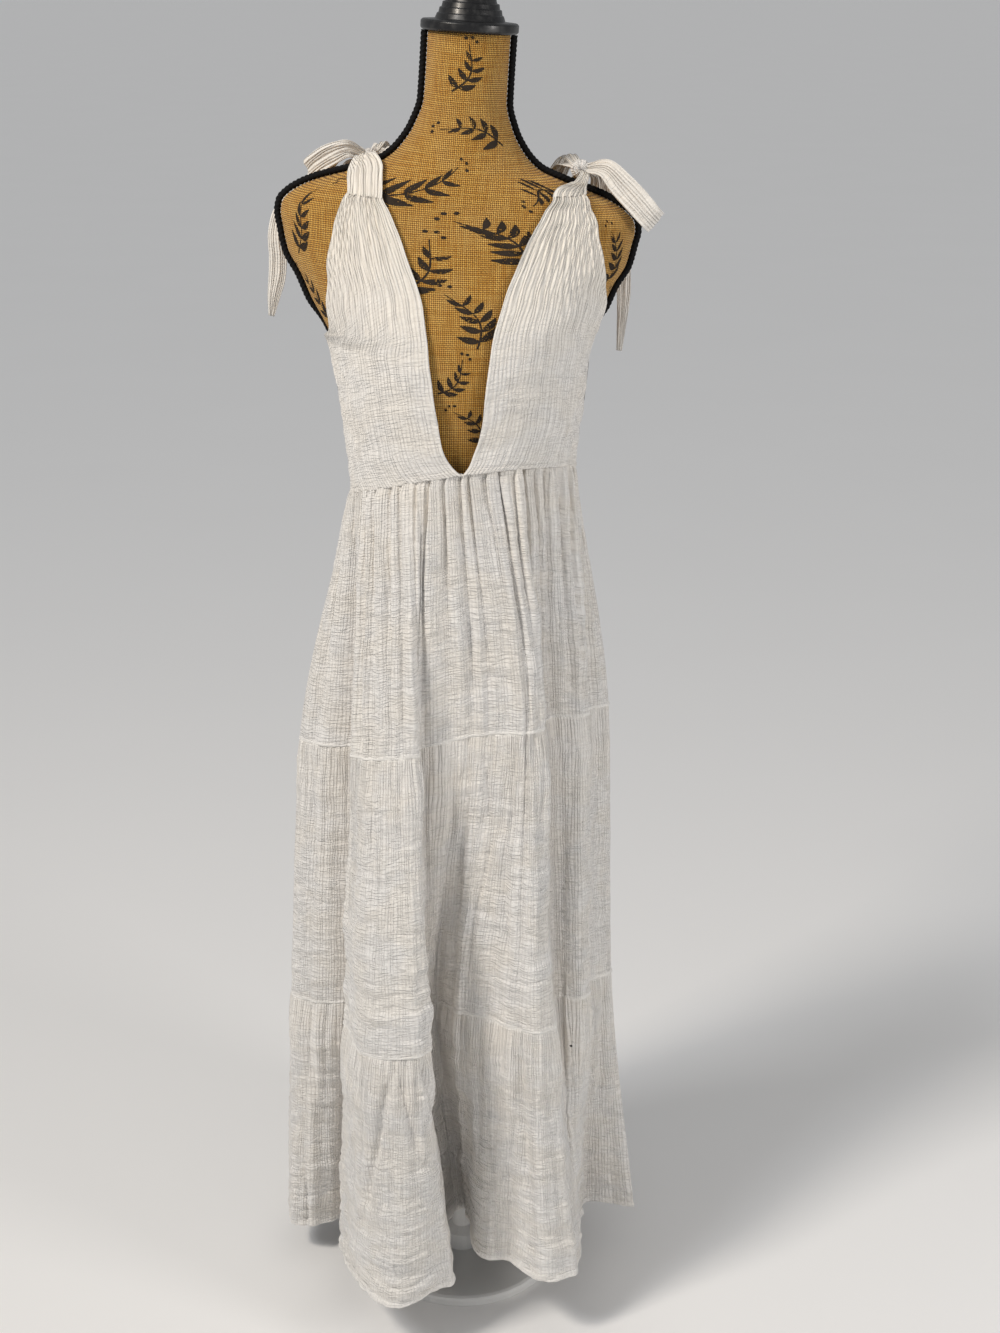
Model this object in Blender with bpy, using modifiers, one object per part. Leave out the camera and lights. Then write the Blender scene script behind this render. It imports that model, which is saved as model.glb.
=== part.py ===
"""A tiered maxi dress with shoulder ties, worn by a limbless dress form on a stand.

Metres, +Z up. The origin is the centre of the stand base's underside, the front faces -Y,
and left and right are as seen from the front, with -X at the left.
"""
import math
from collections import namedtuple

import bmesh
import bpy
from mathutils import Vector

MM = 0.001

# Cloth
WALL = 1.5 * MM
TIE_WALL = 2.0 * MM
SEAM_GAP = 0.4 * MM
SIDE_GAP = 1.0 * MM
WAIST_GAP = 0.8 * MM
STRAP_GAP = 0.9 * MM

# Stand
BASE_RADIUS = 120 * MM
BASE_THICKNESS = 12 * MM
BASE_EDGE = 5 * MM
POLE_RADIUS = 12.5 * MM
COLLAR_RADIUS = 21 * MM
COLLAR_HEIGHT = 32 * MM
STAND_GAP = 0.3 * MM

# The form: half width at the sides, depth to front and back, and how far its middle lies behind the axis.
FormRow = namedtuple("FormRow", "height side front back behind")
FORM = [FormRow(*(MM * value for value in row)) for row in (
    (822, 75, 58, 62, 0),
    (835, 98, 75, 80, 0),
    (860, 112, 86, 90, 0),
    (900, 117, 92, 94, 0),
    (950, 117, 95, 94, 0),
    (1000, 114, 96, 90, 0),
    (1050, 112, 97, 88, 0),
    (1100, 115, 101, 90, 0),
    (1150, 124, 110, 94, 0),
    (1190, 133, 118, 97, 0),
    (1224, 142, 122, 99, 2),
    (1249, 153, 121, 100, 4),
    (1269, 164, 117, 100, 6),
    (1294, 175, 110, 99, 8),
    (1317, 188.5, 102, 97, 10),
    (1343, 194.5, 93, 93, 11),
    (1356, 197, 88, 90, 12),
    (1366, 195.5, 84, 88, 12),
    (1375, 188, 80.5, 85.5, 12),
    (1384, 174.5, 77, 83, 12),
    (1392, 157, 74, 80, 12),
    (1404.6, 116.7, 68, 75, 12),
    (1416.6, 85.8, 63, 70, 12),
    (1435, 66.4, 56, 63, 12),
    (1457, 53.5, 50, 55, 12),
    (1486, 45, 46, 48, 10),
    (1527, 44.5, 45, 46, 9),
    (1556, 44.5, 44.5, 45.5, 8),
)]
FORM_COLUMNS = 24

# The form leans to the right from the waist up, and what it wears leans with it.
LEAN = math.radians(3.6)
LEAN_START = 1.15
LEAN_FULL = 1.40
LEAN_PIVOT = 1.43

PIPING_RADIUS = 4.2 * MM
PIPING_UNDER_CLOTH = 2.2 * MM
PIPING_BOTTOM = 0.90
PIPING_NARROWS = 1.240
PIPING_GAP = 0.4 * MM

# Neck cap: radius and height over the neck, bottom to top.
CapRow = namedtuple("CapRow", "radius height")
NECK_CAP = [CapRow(*(MM * value for value in row)) for row in (
    (0, 0.5), (51, 0.5), (53, 2.5), (53, 9.5), (51, 11.5), (38, 12.5), (36, 18), (34.5, 18.5),
    (33.5, 24), (31.5, 24.5), (30.5, 30), (28, 30.5), (26.5, 36), (12, 42), (12, 46),
    (18, 52), (18, 62), (11, 69.5), (0, 71.5),
)]
CAP_STEPS = 20

# How far the bodice stands off the form.
GapRow = namedtuple("GapRow", "height side front back")
BODICE_GAPS = [GapRow(*(MM * value for value in row)) for row in (
    (1000, 16.5, 17.5, 16), (1050, 16.5, 17, 16), (1100, 16.5, 16, 14), (1150, 14, 12.5, 10),
    (1190, 10, 9, 8), (1225, 7.4, 6.5, 7), (1250, 6.8, 6, 6),
    (1275, 5.8, 5.2, 5.5), (1300, 5, 4.8, 5), (1420, 5, 5, 5),
)]

CHEST_BOTTOM = 1.23
CHEST_TOP = 1.31

# Front panels: distance of the V edge and of the armhole edge from the middle, at each height.
# Where the armhole edge has reached the side seam, its column holds None.
PanelRow = namedtuple("PanelRow", "height v_edge arm_edge")
PANEL_LEFT = (
    PanelRow(1.098, 0.0004, None),
    PanelRow(1.107, 0.0095, None),
    PanelRow(1.119, 0.0170, None),
    PanelRow(1.135, 0.0225, None),
    PanelRow(1.158, 0.0262, None),
    PanelRow(1.190, 0.0304, None),
    PanelRow(1.222, 0.0325, None),
    PanelRow(1.245, 0.0335, 0.1420),
    PanelRow(1.275, 0.0368, 0.1435),
    PanelRow(1.303, 0.0450, 0.1418),
    PanelRow(1.330, 0.0562, 0.1395),
    PanelRow(1.350, 0.0650, 0.1358),
    PanelRow(1.368, 0.0745, 0.1308),
    PanelRow(1.383, 0.0840, 0.1230),
)
PANEL_RIGHT = (
    PanelRow(1.098, 0.0004, None),
    PanelRow(1.107, 0.0078, None),
    PanelRow(1.119, 0.0124, None),
    PanelRow(1.135, 0.0178, None),
    PanelRow(1.158, 0.0224, None),
    PanelRow(1.190, 0.0262, None),
    PanelRow(1.225, 0.0325, None),
    PanelRow(1.252, 0.0380, 0.1575),
    PanelRow(1.282, 0.0490, 0.1645),
    PanelRow(1.311, 0.0605, 0.1632),
    PanelRow(1.338, 0.0722, 0.1590),
    PanelRow(1.360, 0.0832, 0.1535),
    PanelRow(1.378, 0.0932, 0.1470),
    PanelRow(1.392, 0.1025, 0.1395),
)
PANEL_GATHERS = 12
PANEL_GATHER_DEPTH = 1.0 * MM
PANEL_GATHERS_END = 1.21
PANEL_GATHERS_FULL = 1.33

BACK_TOP_SIDE = 1.222
BACK_TOP_MIDDLE = 1.205
BACK_COLUMNS = 20
BACK_ROWS = 4

# Seam heights: mean at the sides, rise from left to right, and lift at the front.
SeamRow = namedtuple("SeamRow", "side rise front")
WAIST_SEAM = SeamRow(1.062, 0.017, 0.036)
SEAM_1 = SeamRow(0.762, 0.022, 0.023)
SEAM_2 = SeamRow(0.404, 0.015, 0.030)
HEM = SeamRow(0.057, 0.012, 0.035)
BACK_LIFT_SHARE = 0.3

WAIST_SIDE = 129 * MM
WAIST_FRONT = 115 * MM
WAIST_BACK = 104 * MM

# The skirt's folds, a row for each crest, edge and valley, round from the left side by the front:
# angle on the waist seam in degrees, then plan position in millimetres at the two seams and the hem.
FoldRow = namedtuple("FoldRow", "name waist seam_1_x seam_1_y seam_2_x seam_2_y hem_x hem_y")
FOLDS = (
    FoldRow("left_side", -90, -197, 0, -217, 0, -229, 0),
    FoldRow("left_panel", -76, -172, -32, -188, -30, -202, -18),
    FoldRow("left_valley", -66, -133, -52, -143, -42, -155, 4),
    FoldRow("fold_1_start", -59, -127, -98, -139, -108, -154, -78),
    FoldRow("fold_1_left", -52, -115, -123, -124, -188, -141, -148),
    FoldRow("fold_1_shoulder", -44, -95, -137, -102, -214, -112, -200),
    FoldRow("fold_1_crest", -35, -75, -144, -72, -222, -78, -230),
    FoldRow("fold_1_right", -27, -60, -145, -47, -218, -38, -211),
    FoldRow("fold_1_edge", -21, -51, -131, -42, -180, -14, -172),
    FoldRow("recess_left", -15, -42, -116, -45, -112, -20, -66),
    FoldRow("recess", -8, -10, -115, -30, -94, -4, -40),
    FoldRow("recess_right", 0, 18, -112, -8, -122, 11, -52),
    FoldRow("fold_2_edge", 6, 42, -113, 12, -136, 15, -122),
    FoldRow("fold_2_left", 11, 58, -117, 32, -146, 28, -146),
    FoldRow("fold_2_middle", 16, 72, -119, 58, -168, 56, -150),
    FoldRow("fold_2_crest", 22, 83, -116, 90, -182, 102, -190),
    FoldRow("fold_2_right", 30, 93, -104, 108, -158, 139, -172),
    FoldRow("valley_2", 42, 101, -72, 114, -92, 147, -128),
    FoldRow("fold_3", 54, 120, -62, 130, -90, 148, -94),
    FoldRow("fold_3_crest", 65, 143, -56, 150, -88, 152, -64),
    FoldRow("valley_3", 76, 152, -26, 160, -32, 166, 6),
    FoldRow("right_side", 90, 177, 0, 190, 2, 229, -4),
    FoldRow("right_back_valley", 104, 152, 40, 160, 44, 168, 48),
    FoldRow("right_back_crest", 118, 144, 88, 172, 104, 198, 118),
    FoldRow("back_valley_1", 136, 93, 101, 100, 112, 104, 118),
    FoldRow("back_crest_1", 152, 70, 142, 80, 182, 88, 212),
    FoldRow("back_valley_2", 168, 28, 124, 26, 136, 24, 140),
    FoldRow("back_crest_2", 184, -10, 152, -16, 194, -20, 226),
    FoldRow("back_valley_3", 202, -50, 120, -56, 134, -60, 138),
    FoldRow("back_crest_3", 218, -98, 128, -122, 160, -138, 184),
    FoldRow("back_valley_4", 240, -120, 76, -130, 84, -136, 88),
    FoldRow("left_back_crest", 256, -168, 54, -196, 66, -212, 74),
)

# Tiers: which nodes, levels of their rings, gathers round the whole skirt and how deep they are.
TierRow = namedtuple("TierRow", "number levels gathers depth_top depth_bottom puff")
TIERS = (
    TierRow(1, (0.0, 0.06, 0.25, 0.6, 1.0), 36, 3.4 * MM, 0.9 * MM, 0.0),
    TierRow(2, (1.0, 1.05, 1.22, 1.6, 2.0), 60, 2.0 * MM, 0.8 * MM, 2.5 * MM),
    TierRow(3, (2.0, 2.05, 2.22, 2.6, 3.0), 68, 2.0 * MM, 0.8 * MM, 2.5 * MM),
)
# The columns next to a side seam lie close to it, so that the wall ends square there.
END_COLUMN_SHARE = 0.3
# One knife pleat across its four columns: steep on one side and long on the other.
PLEAT_PROFILE = (-1.0, 0.9, 1.0, 0.1)

# Ties: a shoulder's straps climb from the bodice to its knot, measured round the shoulder from the front.
SHOULDER_COLUMNS = "side knot_x knot_turn knot_lift front_turn front_lift back_turn back_lift narrows"
ShoulderRow = namedtuple("ShoulderRow", SHOULDER_COLUMNS)
SHOULDERS = (
    ShoulderRow("left", -0.102, 117, 11.5 * MM, 111.4, 10.5 * MM, 123.6, 7.5 * MM, 0.5),
    ShoulderRow("right", 0.131, 88, 21.0 * MM, 81.0, 18.5 * MM, 94.0, 15.5 * MM, 0.1),
)
SHOULDER_CENTRE = 1.33
STRAP_AT_KNOT = 11 * MM
STRAP_LIFT = 4.5 * MM
STRAP_OVER_PIPING = 7.0 * MM
STRAP_COLUMNS = 6
STRAP_ROWS = 8
STRAP_GATHER_DEPTH = 0.7 * MM
BACK_STRAP_X = 92 * MM
BACK_STRAP_WIDTH = 30 * MM
BACK_STRAP_NARROWS = 0.1
KNOT_SIZE = Vector((11.0, 9.5, 9.5)) * MM

# Bow loops and tails: points of the ribbon's middle line and its width there, in millimetres.
# A ribbon starts at its knot, a loop ends there too, and its direction across stays the same.
RibbonRow = namedtuple("RibbonRow", "x y z width")
Ribbon = namedtuple("Ribbon", "name side across knot_width is_loop rows")
RIBBONS = (
    Ribbon("loop_outer_right", "right", (0.55, 0.0, 0.83), 9, True, [RibbonRow(*row) for row in (
        (158, -11, 1424, 21), (176, -17, 1409, 27), (196, -23, 1391, 28), (210, -24, 1377, 27),
        (216, -17, 1371, 27), (209, -10, 1377, 27), (194, -7, 1391, 27), (174, -3, 1409, 25),
        (159, -1, 1424, 17))]),
    Ribbon("loop_inner_right", "right", (0.97, 0.0, 0.24), 10, True, [RibbonRow(*row) for row in (
        (117, 34, 1424, 17), (112, 54, 1416, 21), (107, 78, 1396, 23), (105, 94, 1374, 23),
        (105, 104, 1356, 23), (106, 107, 1362, 23), (108, 99, 1388, 23), (112, 80, 1412, 21),
        (119, 55, 1429, 16))]),
    Ribbon("loop_outer_left", "left", (-0.42, 0.0, 0.91), 10, True, [RibbonRow(*row) for row in (
        (-127, 37, 1423, 18), (-147, 41, 1415, 24), (-162, 46, 1404, 24), (-170, 51, 1396, 24),
        (-172, 58, 1394, 24), (-166, 63, 1399, 24), (-150, 60, 1410, 23), (-130, 50, 1424, 16))]),
    Ribbon("loop_inner_left", "left", (0.97, 0.0, 0.24), 10, True, [RibbonRow(*row) for row in (
        (-86, 66, 1424, 16), (-80, 80, 1414, 21), (-76, 94, 1396, 23), (-75, 103, 1374, 23),
        (-76, 110, 1360, 23), (-78, 112, 1368, 23), (-82, 105, 1394, 22), (-87, 90, 1416, 18),
        (-92, 74, 1427, 14))]),
    Ribbon("tail_outer_right", "right", (0.96, 0.0, 0.26), 9, False, [RibbonRow(*row) for row in (
        (157, 16, 1428, 14), (170, 48, 1407, 19), (180, 68, 1368, 20), (187, 76, 1328, 19),
        (191, 78, 1298, 18), (192, 77, 1266, 15), (189, 76, 1234, 11), (185, 75, 1200, 6))]),
    Ribbon("tail_inner_right", "right", (1.0, 0.0, 0.1), 9, False, [RibbonRow(*row) for row in (
        (150, 35, 1413, 12), (155, 58, 1393, 17), (155, 76, 1358, 19), (156, 83, 1322, 19),
        (156, 85, 1284, 16), (154, 85, 1246, 12), (152, 85, 1216, 6))]),
    Ribbon("tail_outer_left", "left", (0.93, 0.0, 0.37), 9, False, [RibbonRow(*row) for row in (
        (-134, 61, 1417, 14), (-160, 70, 1391, 19), (-183, 56, 1370, 20), (-199, 45, 1348, 20),
        (-204, 40, 1326, 20), (-203, 38, 1304, 20), (-205, 37, 1282, 19), (-210, 37, 1262, 14),
        (-214, 37, 1242, 6))]),
    Ribbon("tail_inner_left", "left", (1.0, 0.0, -0.1), 9, False, [RibbonRow(*row) for row in (
        (-126, 73, 1403, 12), (-131, 87, 1378, 16), (-134, 95, 1346, 19), (-135, 98, 1312, 19),
        (-135, 99, 1276, 16), (-133, 99, 1240, 6))]),
)
RIBBON_STRIPS = 3
KNOT_GAP = 0.6 * MM

# Colour, roughness and metallic value of each material.
Finish = namedtuple("Finish", "colour roughness metallic")
CLOTH = Finish((0.82, 0.79, 0.74), 0.9, 0.0)
BURLAP = Finish((0.58, 0.33, 0.11), 0.95, 0.0)
BLACK_CORD = Finish((0.02, 0.02, 0.022), 0.75, 0.0)
BLACK_GLOSS = Finish((0.012, 0.012, 0.013), 0.25, 0.0)
WHITE_PAINT = Finish((0.86, 0.85, 0.83), 0.4, 0.0)


def smooth(share):
    """Ease from 0 to 1."""
    share = min(max(share, 0.0), 1.0)
    return share * share * (3.0 - 2.0 * share)


def mix(start, end, share):
    return start + (end - start) * share


def curve_slopes(places, values):
    """Slopes at each point that keep the curve through them free of overshoot."""
    steps = [(b - a) / (q - p) for p, q, a, b in zip(places, places[1:], values, values[1:])]
    inner = [0.0 if left * right <= 0 else 2 * left * right / (left + right)
             for left, right in zip(steps, steps[1:])]
    return [steps[0]] + inner + [steps[-1]]


def hermite(place, start, end, value_start, value_end, slope_start, slope_end):
    """A cubic between two points with given slopes."""
    span = end - start
    t = (place - start) / span
    rise = smooth(t)
    bend_start = t * (1 - t) ** 2 * span * slope_start
    bend_end = t * t * (t - 1) * span * slope_end
    return mix(value_start, value_end, rise) + bend_start + bend_end


class Curve:
    """A smooth value along a row of places, held level past both ends."""

    def __init__(self, places, values):
        self.places = list(places)
        self.values = list(values)
        self.slopes = curve_slopes(self.places, self.values)

    def at(self, place):
        place = min(max(place, self.places[0]), self.places[-1])
        index = max(i for i in range(len(self.places) - 1) if self.places[i] <= place or i == 0)
        return hermite(place, self.places[index], self.places[index + 1],
                       self.values[index], self.values[index + 1],
                       self.slopes[index], self.slopes[index + 1])


def column(rows, name):
    return [getattr(row, name) for row in rows]


def by_height(rows, name):
    return Curve(column(rows, "height"), column(rows, name))


FORM_SIDE = by_height(FORM, "side")
FORM_FRONT = by_height(FORM, "front")
FORM_BACK = by_height(FORM, "back")
FORM_BEHIND = by_height(FORM, "behind")
GAP_SIDE = by_height(BODICE_GAPS, "side")
GAP_FRONT = by_height(BODICE_GAPS, "front")
GAP_BACK = by_height(BODICE_GAPS, "back")


def lean(point):
    """Turn a point of the upper form about the pivot by its share of the lean."""
    turn = LEAN * smooth((point.z - LEAN_START) / (LEAN_FULL - LEAN_START))
    rise = point.z - LEAN_PIVOT
    x = point.x * math.cos(turn) + rise * math.sin(turn)
    z = LEAN_PIVOT + rise * math.cos(turn) - point.x * math.sin(turn)
    return Vector((x, point.y, z)) if turn else point.copy()


def oval(angle, height, side, front, back, behind):
    """A point on a ring, its angle in radians from the front towards the right."""
    depth = front if math.cos(angle) > 0 else back
    return Vector((side * math.sin(angle), behind - depth * math.cos(angle), height))


def form_point(angle, height):
    return oval(angle, height, FORM_SIDE.at(height), FORM_FRONT.at(height),
                FORM_BACK.at(height), FORM_BEHIND.at(height))


def form_normal(angle, height):
    """The direction straight out of the form."""
    step = 0.001
    round_it = form_point(angle + step, height) - form_point(angle - step, height)
    up_it = form_point(angle, height + step) - form_point(angle, height - step)
    return round_it.cross(up_it).normalized()


def bodice_point(angle, height, out=0.0):
    """A point of the bodice's cloth, moved out by the depth of a gather.

    It stands off level from the lower form, and straight out from the sloping chest and shoulders."""
    sloping = smooth((height - CHEST_BOTTOM) / (CHEST_TOP - CHEST_BOTTOM))
    side = GAP_SIDE.at(height) + out
    front = GAP_FRONT.at(height) + out
    back = GAP_BACK.at(height) + out
    level = 1.0 - sloping
    point = oval(angle, height, FORM_SIDE.at(height) + level * side, FORM_FRONT.at(height) + level * front,
                 FORM_BACK.at(height) + level * back, FORM_BEHIND.at(height))
    depth = front if math.cos(angle) > 0 else back
    return point + form_normal(angle, height) * mix(depth, side, math.sin(angle) ** 2) * sloping


def plan_angle(point):
    return math.atan2(point.x, -point.y)


def seam_height(seam, angle):
    """Height of a seam at an angle seen in plan."""
    front = math.cos(angle)
    lift = front if front > 0 else -front * BACK_LIFT_SHARE
    return seam.side + seam.rise * math.sin(angle) + seam.front * lift


def surface_object(name, grid, closed=False):
    """An open sheet of quads through rows of points."""
    mesh = bpy.data.meshes.new(name)
    count = len(grid[0])
    strips = count if closed else count - 1
    points = [point for row in grid for point in row]
    faces = [(r * count + c, r * count + (c + 1) % count,
              (r + 1) * count + (c + 1) % count, (r + 1) * count + c)
             for r in range(len(grid) - 1) for c in range(strips)]
    mesh.from_pydata(points, [], faces)
    mesh.update()
    part = bpy.data.objects.new(name, mesh)
    COLLECTION.objects.link(part)
    return part


def cloth_object(name, grid, wall=WALL):
    """A sheet given its thickness, half to each side."""
    part = surface_object(name, grid)
    thickness = part.modifiers.new("wall", "SOLIDIFY")
    thickness.thickness = wall
    thickness.offset = 0.0
    finish(part, CLOTH)
    return part


def finish(part, look):
    material = bpy.data.materials.new(part.name)
    material.use_nodes = True
    shader = material.node_tree.nodes["Principled BSDF"]
    shader.inputs["Base Color"].default_value = (*look.colour, 1.0)
    shader.inputs["Roughness"].default_value = look.roughness
    shader.inputs["Metallic"].default_value = look.metallic
    part.data.materials.append(material)


def turned_object(name, profile, steps, look):
    """A profile of radius and height turned about Z."""
    mesh = bpy.data.meshes.new(name)
    points = [(radius, 0.0, height) for radius, height in profile]
    mesh.from_pydata(points, [(i, i + 1) for i in range(len(points) - 1)], [])
    part = bpy.data.objects.new(name, mesh)
    COLLECTION.objects.link(part)
    screw = part.modifiers.new("turned", "SCREW")
    screw.axis = "Z"
    screw.steps = steps
    screw.render_steps = steps
    screw.use_merge_vertices = True
    screw.merge_threshold = 0.00005
    screw.use_normal_calculate = True
    finish(part, look)
    return part


def build_stand():
    top = BASE_THICKNESS
    turned_object("stand_base", (
        (0.0, 0.0), (BASE_RADIUS, 0.0), (BASE_RADIUS, top - BASE_EDGE),
        (BASE_RADIUS - 0.3 * BASE_EDGE, top - 0.3 * BASE_EDGE), (BASE_RADIUS - BASE_EDGE, top), (0.0, top)),
        36, WHITE_PAINT)
    foot = top + STAND_GAP
    head = FORM[0].height - STAND_GAP
    turned_object("stand_pole", (
        (0.0, foot), (COLLAR_RADIUS, foot), (COLLAR_RADIUS, foot + 0.7 * COLLAR_HEIGHT),
        (POLE_RADIUS, foot + COLLAR_HEIGHT), (POLE_RADIUS, head), (0.0, head)),
        20, WHITE_PAINT)


def build_torso():
    """Rings up the form, closed at the bottom and under the neck cap."""
    angles = [2 * math.pi * i / FORM_COLUMNS for i in range(FORM_COLUMNS)]
    grid = [[lean(form_point(angle, row.height)) for angle in angles] for row in FORM]
    part = surface_object("form_torso", grid, closed=True)
    shape = bmesh.new()
    shape.from_mesh(part.data)
    bmesh.ops.holes_fill(shape, edges=[edge for edge in shape.edges if edge.is_boundary])
    bmesh.ops.recalc_face_normals(shape, faces=shape.faces)
    shape.to_mesh(part.data)
    shape.free()
    finish(part, BURLAP)


def build_neck_cap():
    part = turned_object("neck_cap", NECK_CAP, CAP_STEPS, BLACK_GLOSS)
    top = FORM[-1]
    part.location = lean(Vector((0.0, top.behind, top.height)))
    part.rotation_euler = (0.0, LEAN, 0.0)


def piping_radius(height):
    share = smooth((height - PIPING_NARROWS) / 0.03)
    return mix(PIPING_UNDER_CLOTH, PIPING_RADIUS, share)


def piping_route(sign):
    """The side seam of the form, moved out by the piping's own radius."""
    rows = [row for row in FORM if row.height > PIPING_BOTTOM]
    seam = [Vector((row.side, row.behind, row.height)) for row in rows]
    seam[-1].z -= PIPING_GAP
    route = []
    for index, place in enumerate(seam):
        arriving = (place - seam[max(index - 1, 0)]).normalized()
        leaving = (seam[min(index + 1, len(seam) - 1)] - place).normalized()
        run = (arriving + leaving).normalized()
        outward = Vector((run.z, 0.0, -run.x)).normalized()
        mitre = max(run.dot(leaving), run.dot(arriving))
        radius = piping_radius(place.z)
        middle = place + outward * ((radius + PIPING_GAP) / mitre)
        route.append((lean(Vector((sign * middle.x, middle.y, middle.z))), radius))
    return route


def build_piping(name, sign):
    cord = bpy.data.curves.new(name, "CURVE")
    cord.dimensions = "3D"
    cord.bevel_depth = PIPING_RADIUS
    cord.bevel_resolution = 2
    cord.use_fill_caps = True
    route = piping_route(sign)
    line = cord.splines.new("POLY")
    line.points.add(len(route) - 1)
    for point, (place, radius) in zip(line.points, route):
        point.co = (*place, 1.0)
        point.radius = radius / PIPING_RADIUS
    part = bpy.data.objects.new(name, cord)
    COLLECTION.objects.link(part)
    finish(part, BLACK_CORD)


def waist_height(angle):
    """Height of the waist seam under the bodice's ring angle."""
    return seam_height(WAIST_SEAM, plan_angle(bodice_point(angle, WAIST_SEAM.side)))


def panel_row(sign, row):
    """One row of a front panel, from its V edge round to its armhole edge or side seam."""
    side = FORM_SIDE.at(row.height) + GAP_SIDE.at(row.height)
    start = math.asin(row.v_edge / side)
    seam = math.pi / 2 - SIDE_GAP / 2 / side
    end = seam if row.arm_edge is None else math.asin(min(row.arm_edge / side, math.sin(seam)))
    depth = smooth((row.height - PANEL_GATHERS_END) / (PANEL_GATHERS_FULL - PANEL_GATHERS_END))
    drop_share = 1.0 - smooth((row.height - WAIST_SEAM.side) / (BACK_TOP_SIDE - WAIST_SEAM.side))
    bottom = PANEL_LEFT[0].height
    drop_share = 1.0 if row.height == bottom else drop_share / (1.0 - smooth(
        (bottom - WAIST_SEAM.side) / (BACK_TOP_SIDE - WAIST_SEAM.side)))
    points = []
    for index in range(2 * PANEL_GATHERS + 1):
        angle = mix(start, end, index / (2 * PANEL_GATHERS))
        out = PANEL_GATHER_DEPTH * depth * (1 if index % 2 else -1)
        drop = waist_height(sign * angle) - waist_height(0.0)
        height = row.height + drop_share * drop + WAIST_GAP / 2 * (row.height == bottom)
        points.append(bodice_point(sign * angle, height, out))
    return points


def build_front_panel(name, sign, rows):
    grid = [panel_row(sign, row) for row in rows]
    cloth_object(name, [[lean(point) for point in row] for row in grid])
    return beyond_edge(grid[-2], grid[-1], STRAP_GAP)


def beyond_edge(inner, edge, gap):
    """Points just past a cloth's edge, in the direction that the cloth runs."""
    return [point + (point - before).normalized() * gap for before, point in zip(inner, edge)]


def back_top(angle):
    return mix(BACK_TOP_SIDE, BACK_TOP_MIDDLE, -math.cos(angle))


def build_back():
    """The back panel, from side seam to side seam."""
    gap = SIDE_GAP / 2 / WAIST_SIDE
    start = math.pi / 2 + gap
    end = 3 * math.pi / 2 - gap
    grid = []
    for level in range(BACK_ROWS + 1):
        row = []
        for index in range(BACK_COLUMNS + 1):
            angle = mix(start, end, index / BACK_COLUMNS)
            bottom = waist_height(angle) + WAIST_GAP / 2
            height = mix(bottom, back_top(angle), level / BACK_ROWS)
            row.append(lean(bodice_point(angle, height)))
        grid.append(row)
    cloth_object("bodice_back", grid)


def inside_form(point):
    height = point.z
    if not FORM[0].height < height < FORM[-1].height:
        return False
    rise = point.y - FORM_BEHIND.at(height)
    depth = FORM_BACK.at(height) if rise > 0 else FORM_FRONT.at(height)
    return (point.x / FORM_SIDE.at(height)) ** 2 + (rise / depth) ** 2 < 1.0


def shoulder_point(x, turn, lift):
    """A point over the shoulder: x across, turn in degrees from the front over the top to the back."""
    centre = Vector((x, FORM[-5].behind, SHOULDER_CENTRE))
    angle = math.radians(turn)
    direction = Vector((0.0, -math.cos(angle), math.sin(angle)))
    near, far = 0.0, 0.3
    while far - near > 0.00002:
        middle = (near + far) / 2
        if inside_form(centre + direction * middle):
            near = middle
        else:
            far = middle
    return centre + direction * (near + lift)


def shoulder_normal(x, turn):
    """The direction straight out of the shoulder."""
    inward = shoulder_point(x + MM, turn, 0.0) - shoulder_point(x - MM, turn, 0.0)
    back = shoulder_point(x, turn + 1, 0.0) - shoulder_point(x, turn - 1, 0.0)
    return inward.cross(back).normalized()


def strap_lift(turn):
    return STRAP_LIFT + STRAP_OVER_PIPING * math.exp(-((turn - 90) / 15) ** 2)


def strap_grid(attached, end_x, end_turn, end_lift, narrows):
    """Rows of a strap from the cloth it is sewn to, over the shoulder to its knot."""
    centre_y = FORM[-5].behind
    sense = 1 if attached[-1].x > attached[0].x else -1
    rows = []
    for level in range(STRAP_ROWS + 1):
        share = level / STRAP_ROWS
        row = []
        for index, start in enumerate(attached):
            across = index / (len(attached) - 1) - 0.5
            start_turn = math.degrees(math.atan2(start.z - SHOULDER_CENTRE, centre_y - start.y)) % 360
            start_offset = start - shoulder_point(start.x, start_turn, 0.0)
            turn = mix(start_turn, end_turn, share)
            narrowed = smooth((share - narrows) / (1 - narrows))
            x = mix(start.x, end_x + sense * across * STRAP_AT_KNOT, narrowed)
            lift = mix(strap_lift(turn), end_lift, smooth((share - 0.75) / 0.25))
            lift += STRAP_GATHER_DEPTH * math.sin(math.pi * share) * (1 if index % 2 else -1)
            offset = mix(start_offset, shoulder_normal(x, turn) * lift, smooth(share / 0.25))
            row.append(lean(shoulder_point(x, turn, 0.0) + offset))
        rows.append(row)
    return rows


def pick_across(points, count):
    """Evenly spaced points along a row of points."""
    picked = []
    for index in range(count + 1):
        place = index / count * (len(points) - 1)
        low = min(int(place), len(points) - 2)
        picked.append(points[low].lerp(points[low + 1], place - low))
    return picked


def back_strap_start(sign):
    """Points just over the back panel's top edge, across one back strap."""
    points = []
    for index in range(STRAP_COLUMNS + 1):
        x = BACK_STRAP_X + BACK_STRAP_WIDTH * (index / STRAP_COLUMNS - 0.5)
        angle = math.pi - math.asin(x / (FORM_SIDE.at(BACK_TOP_MIDDLE) + GAP_SIDE.at(BACK_TOP_MIDDLE)))
        points.append(bodice_point(sign * angle, back_top(angle) + STRAP_GAP))
    return points


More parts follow.
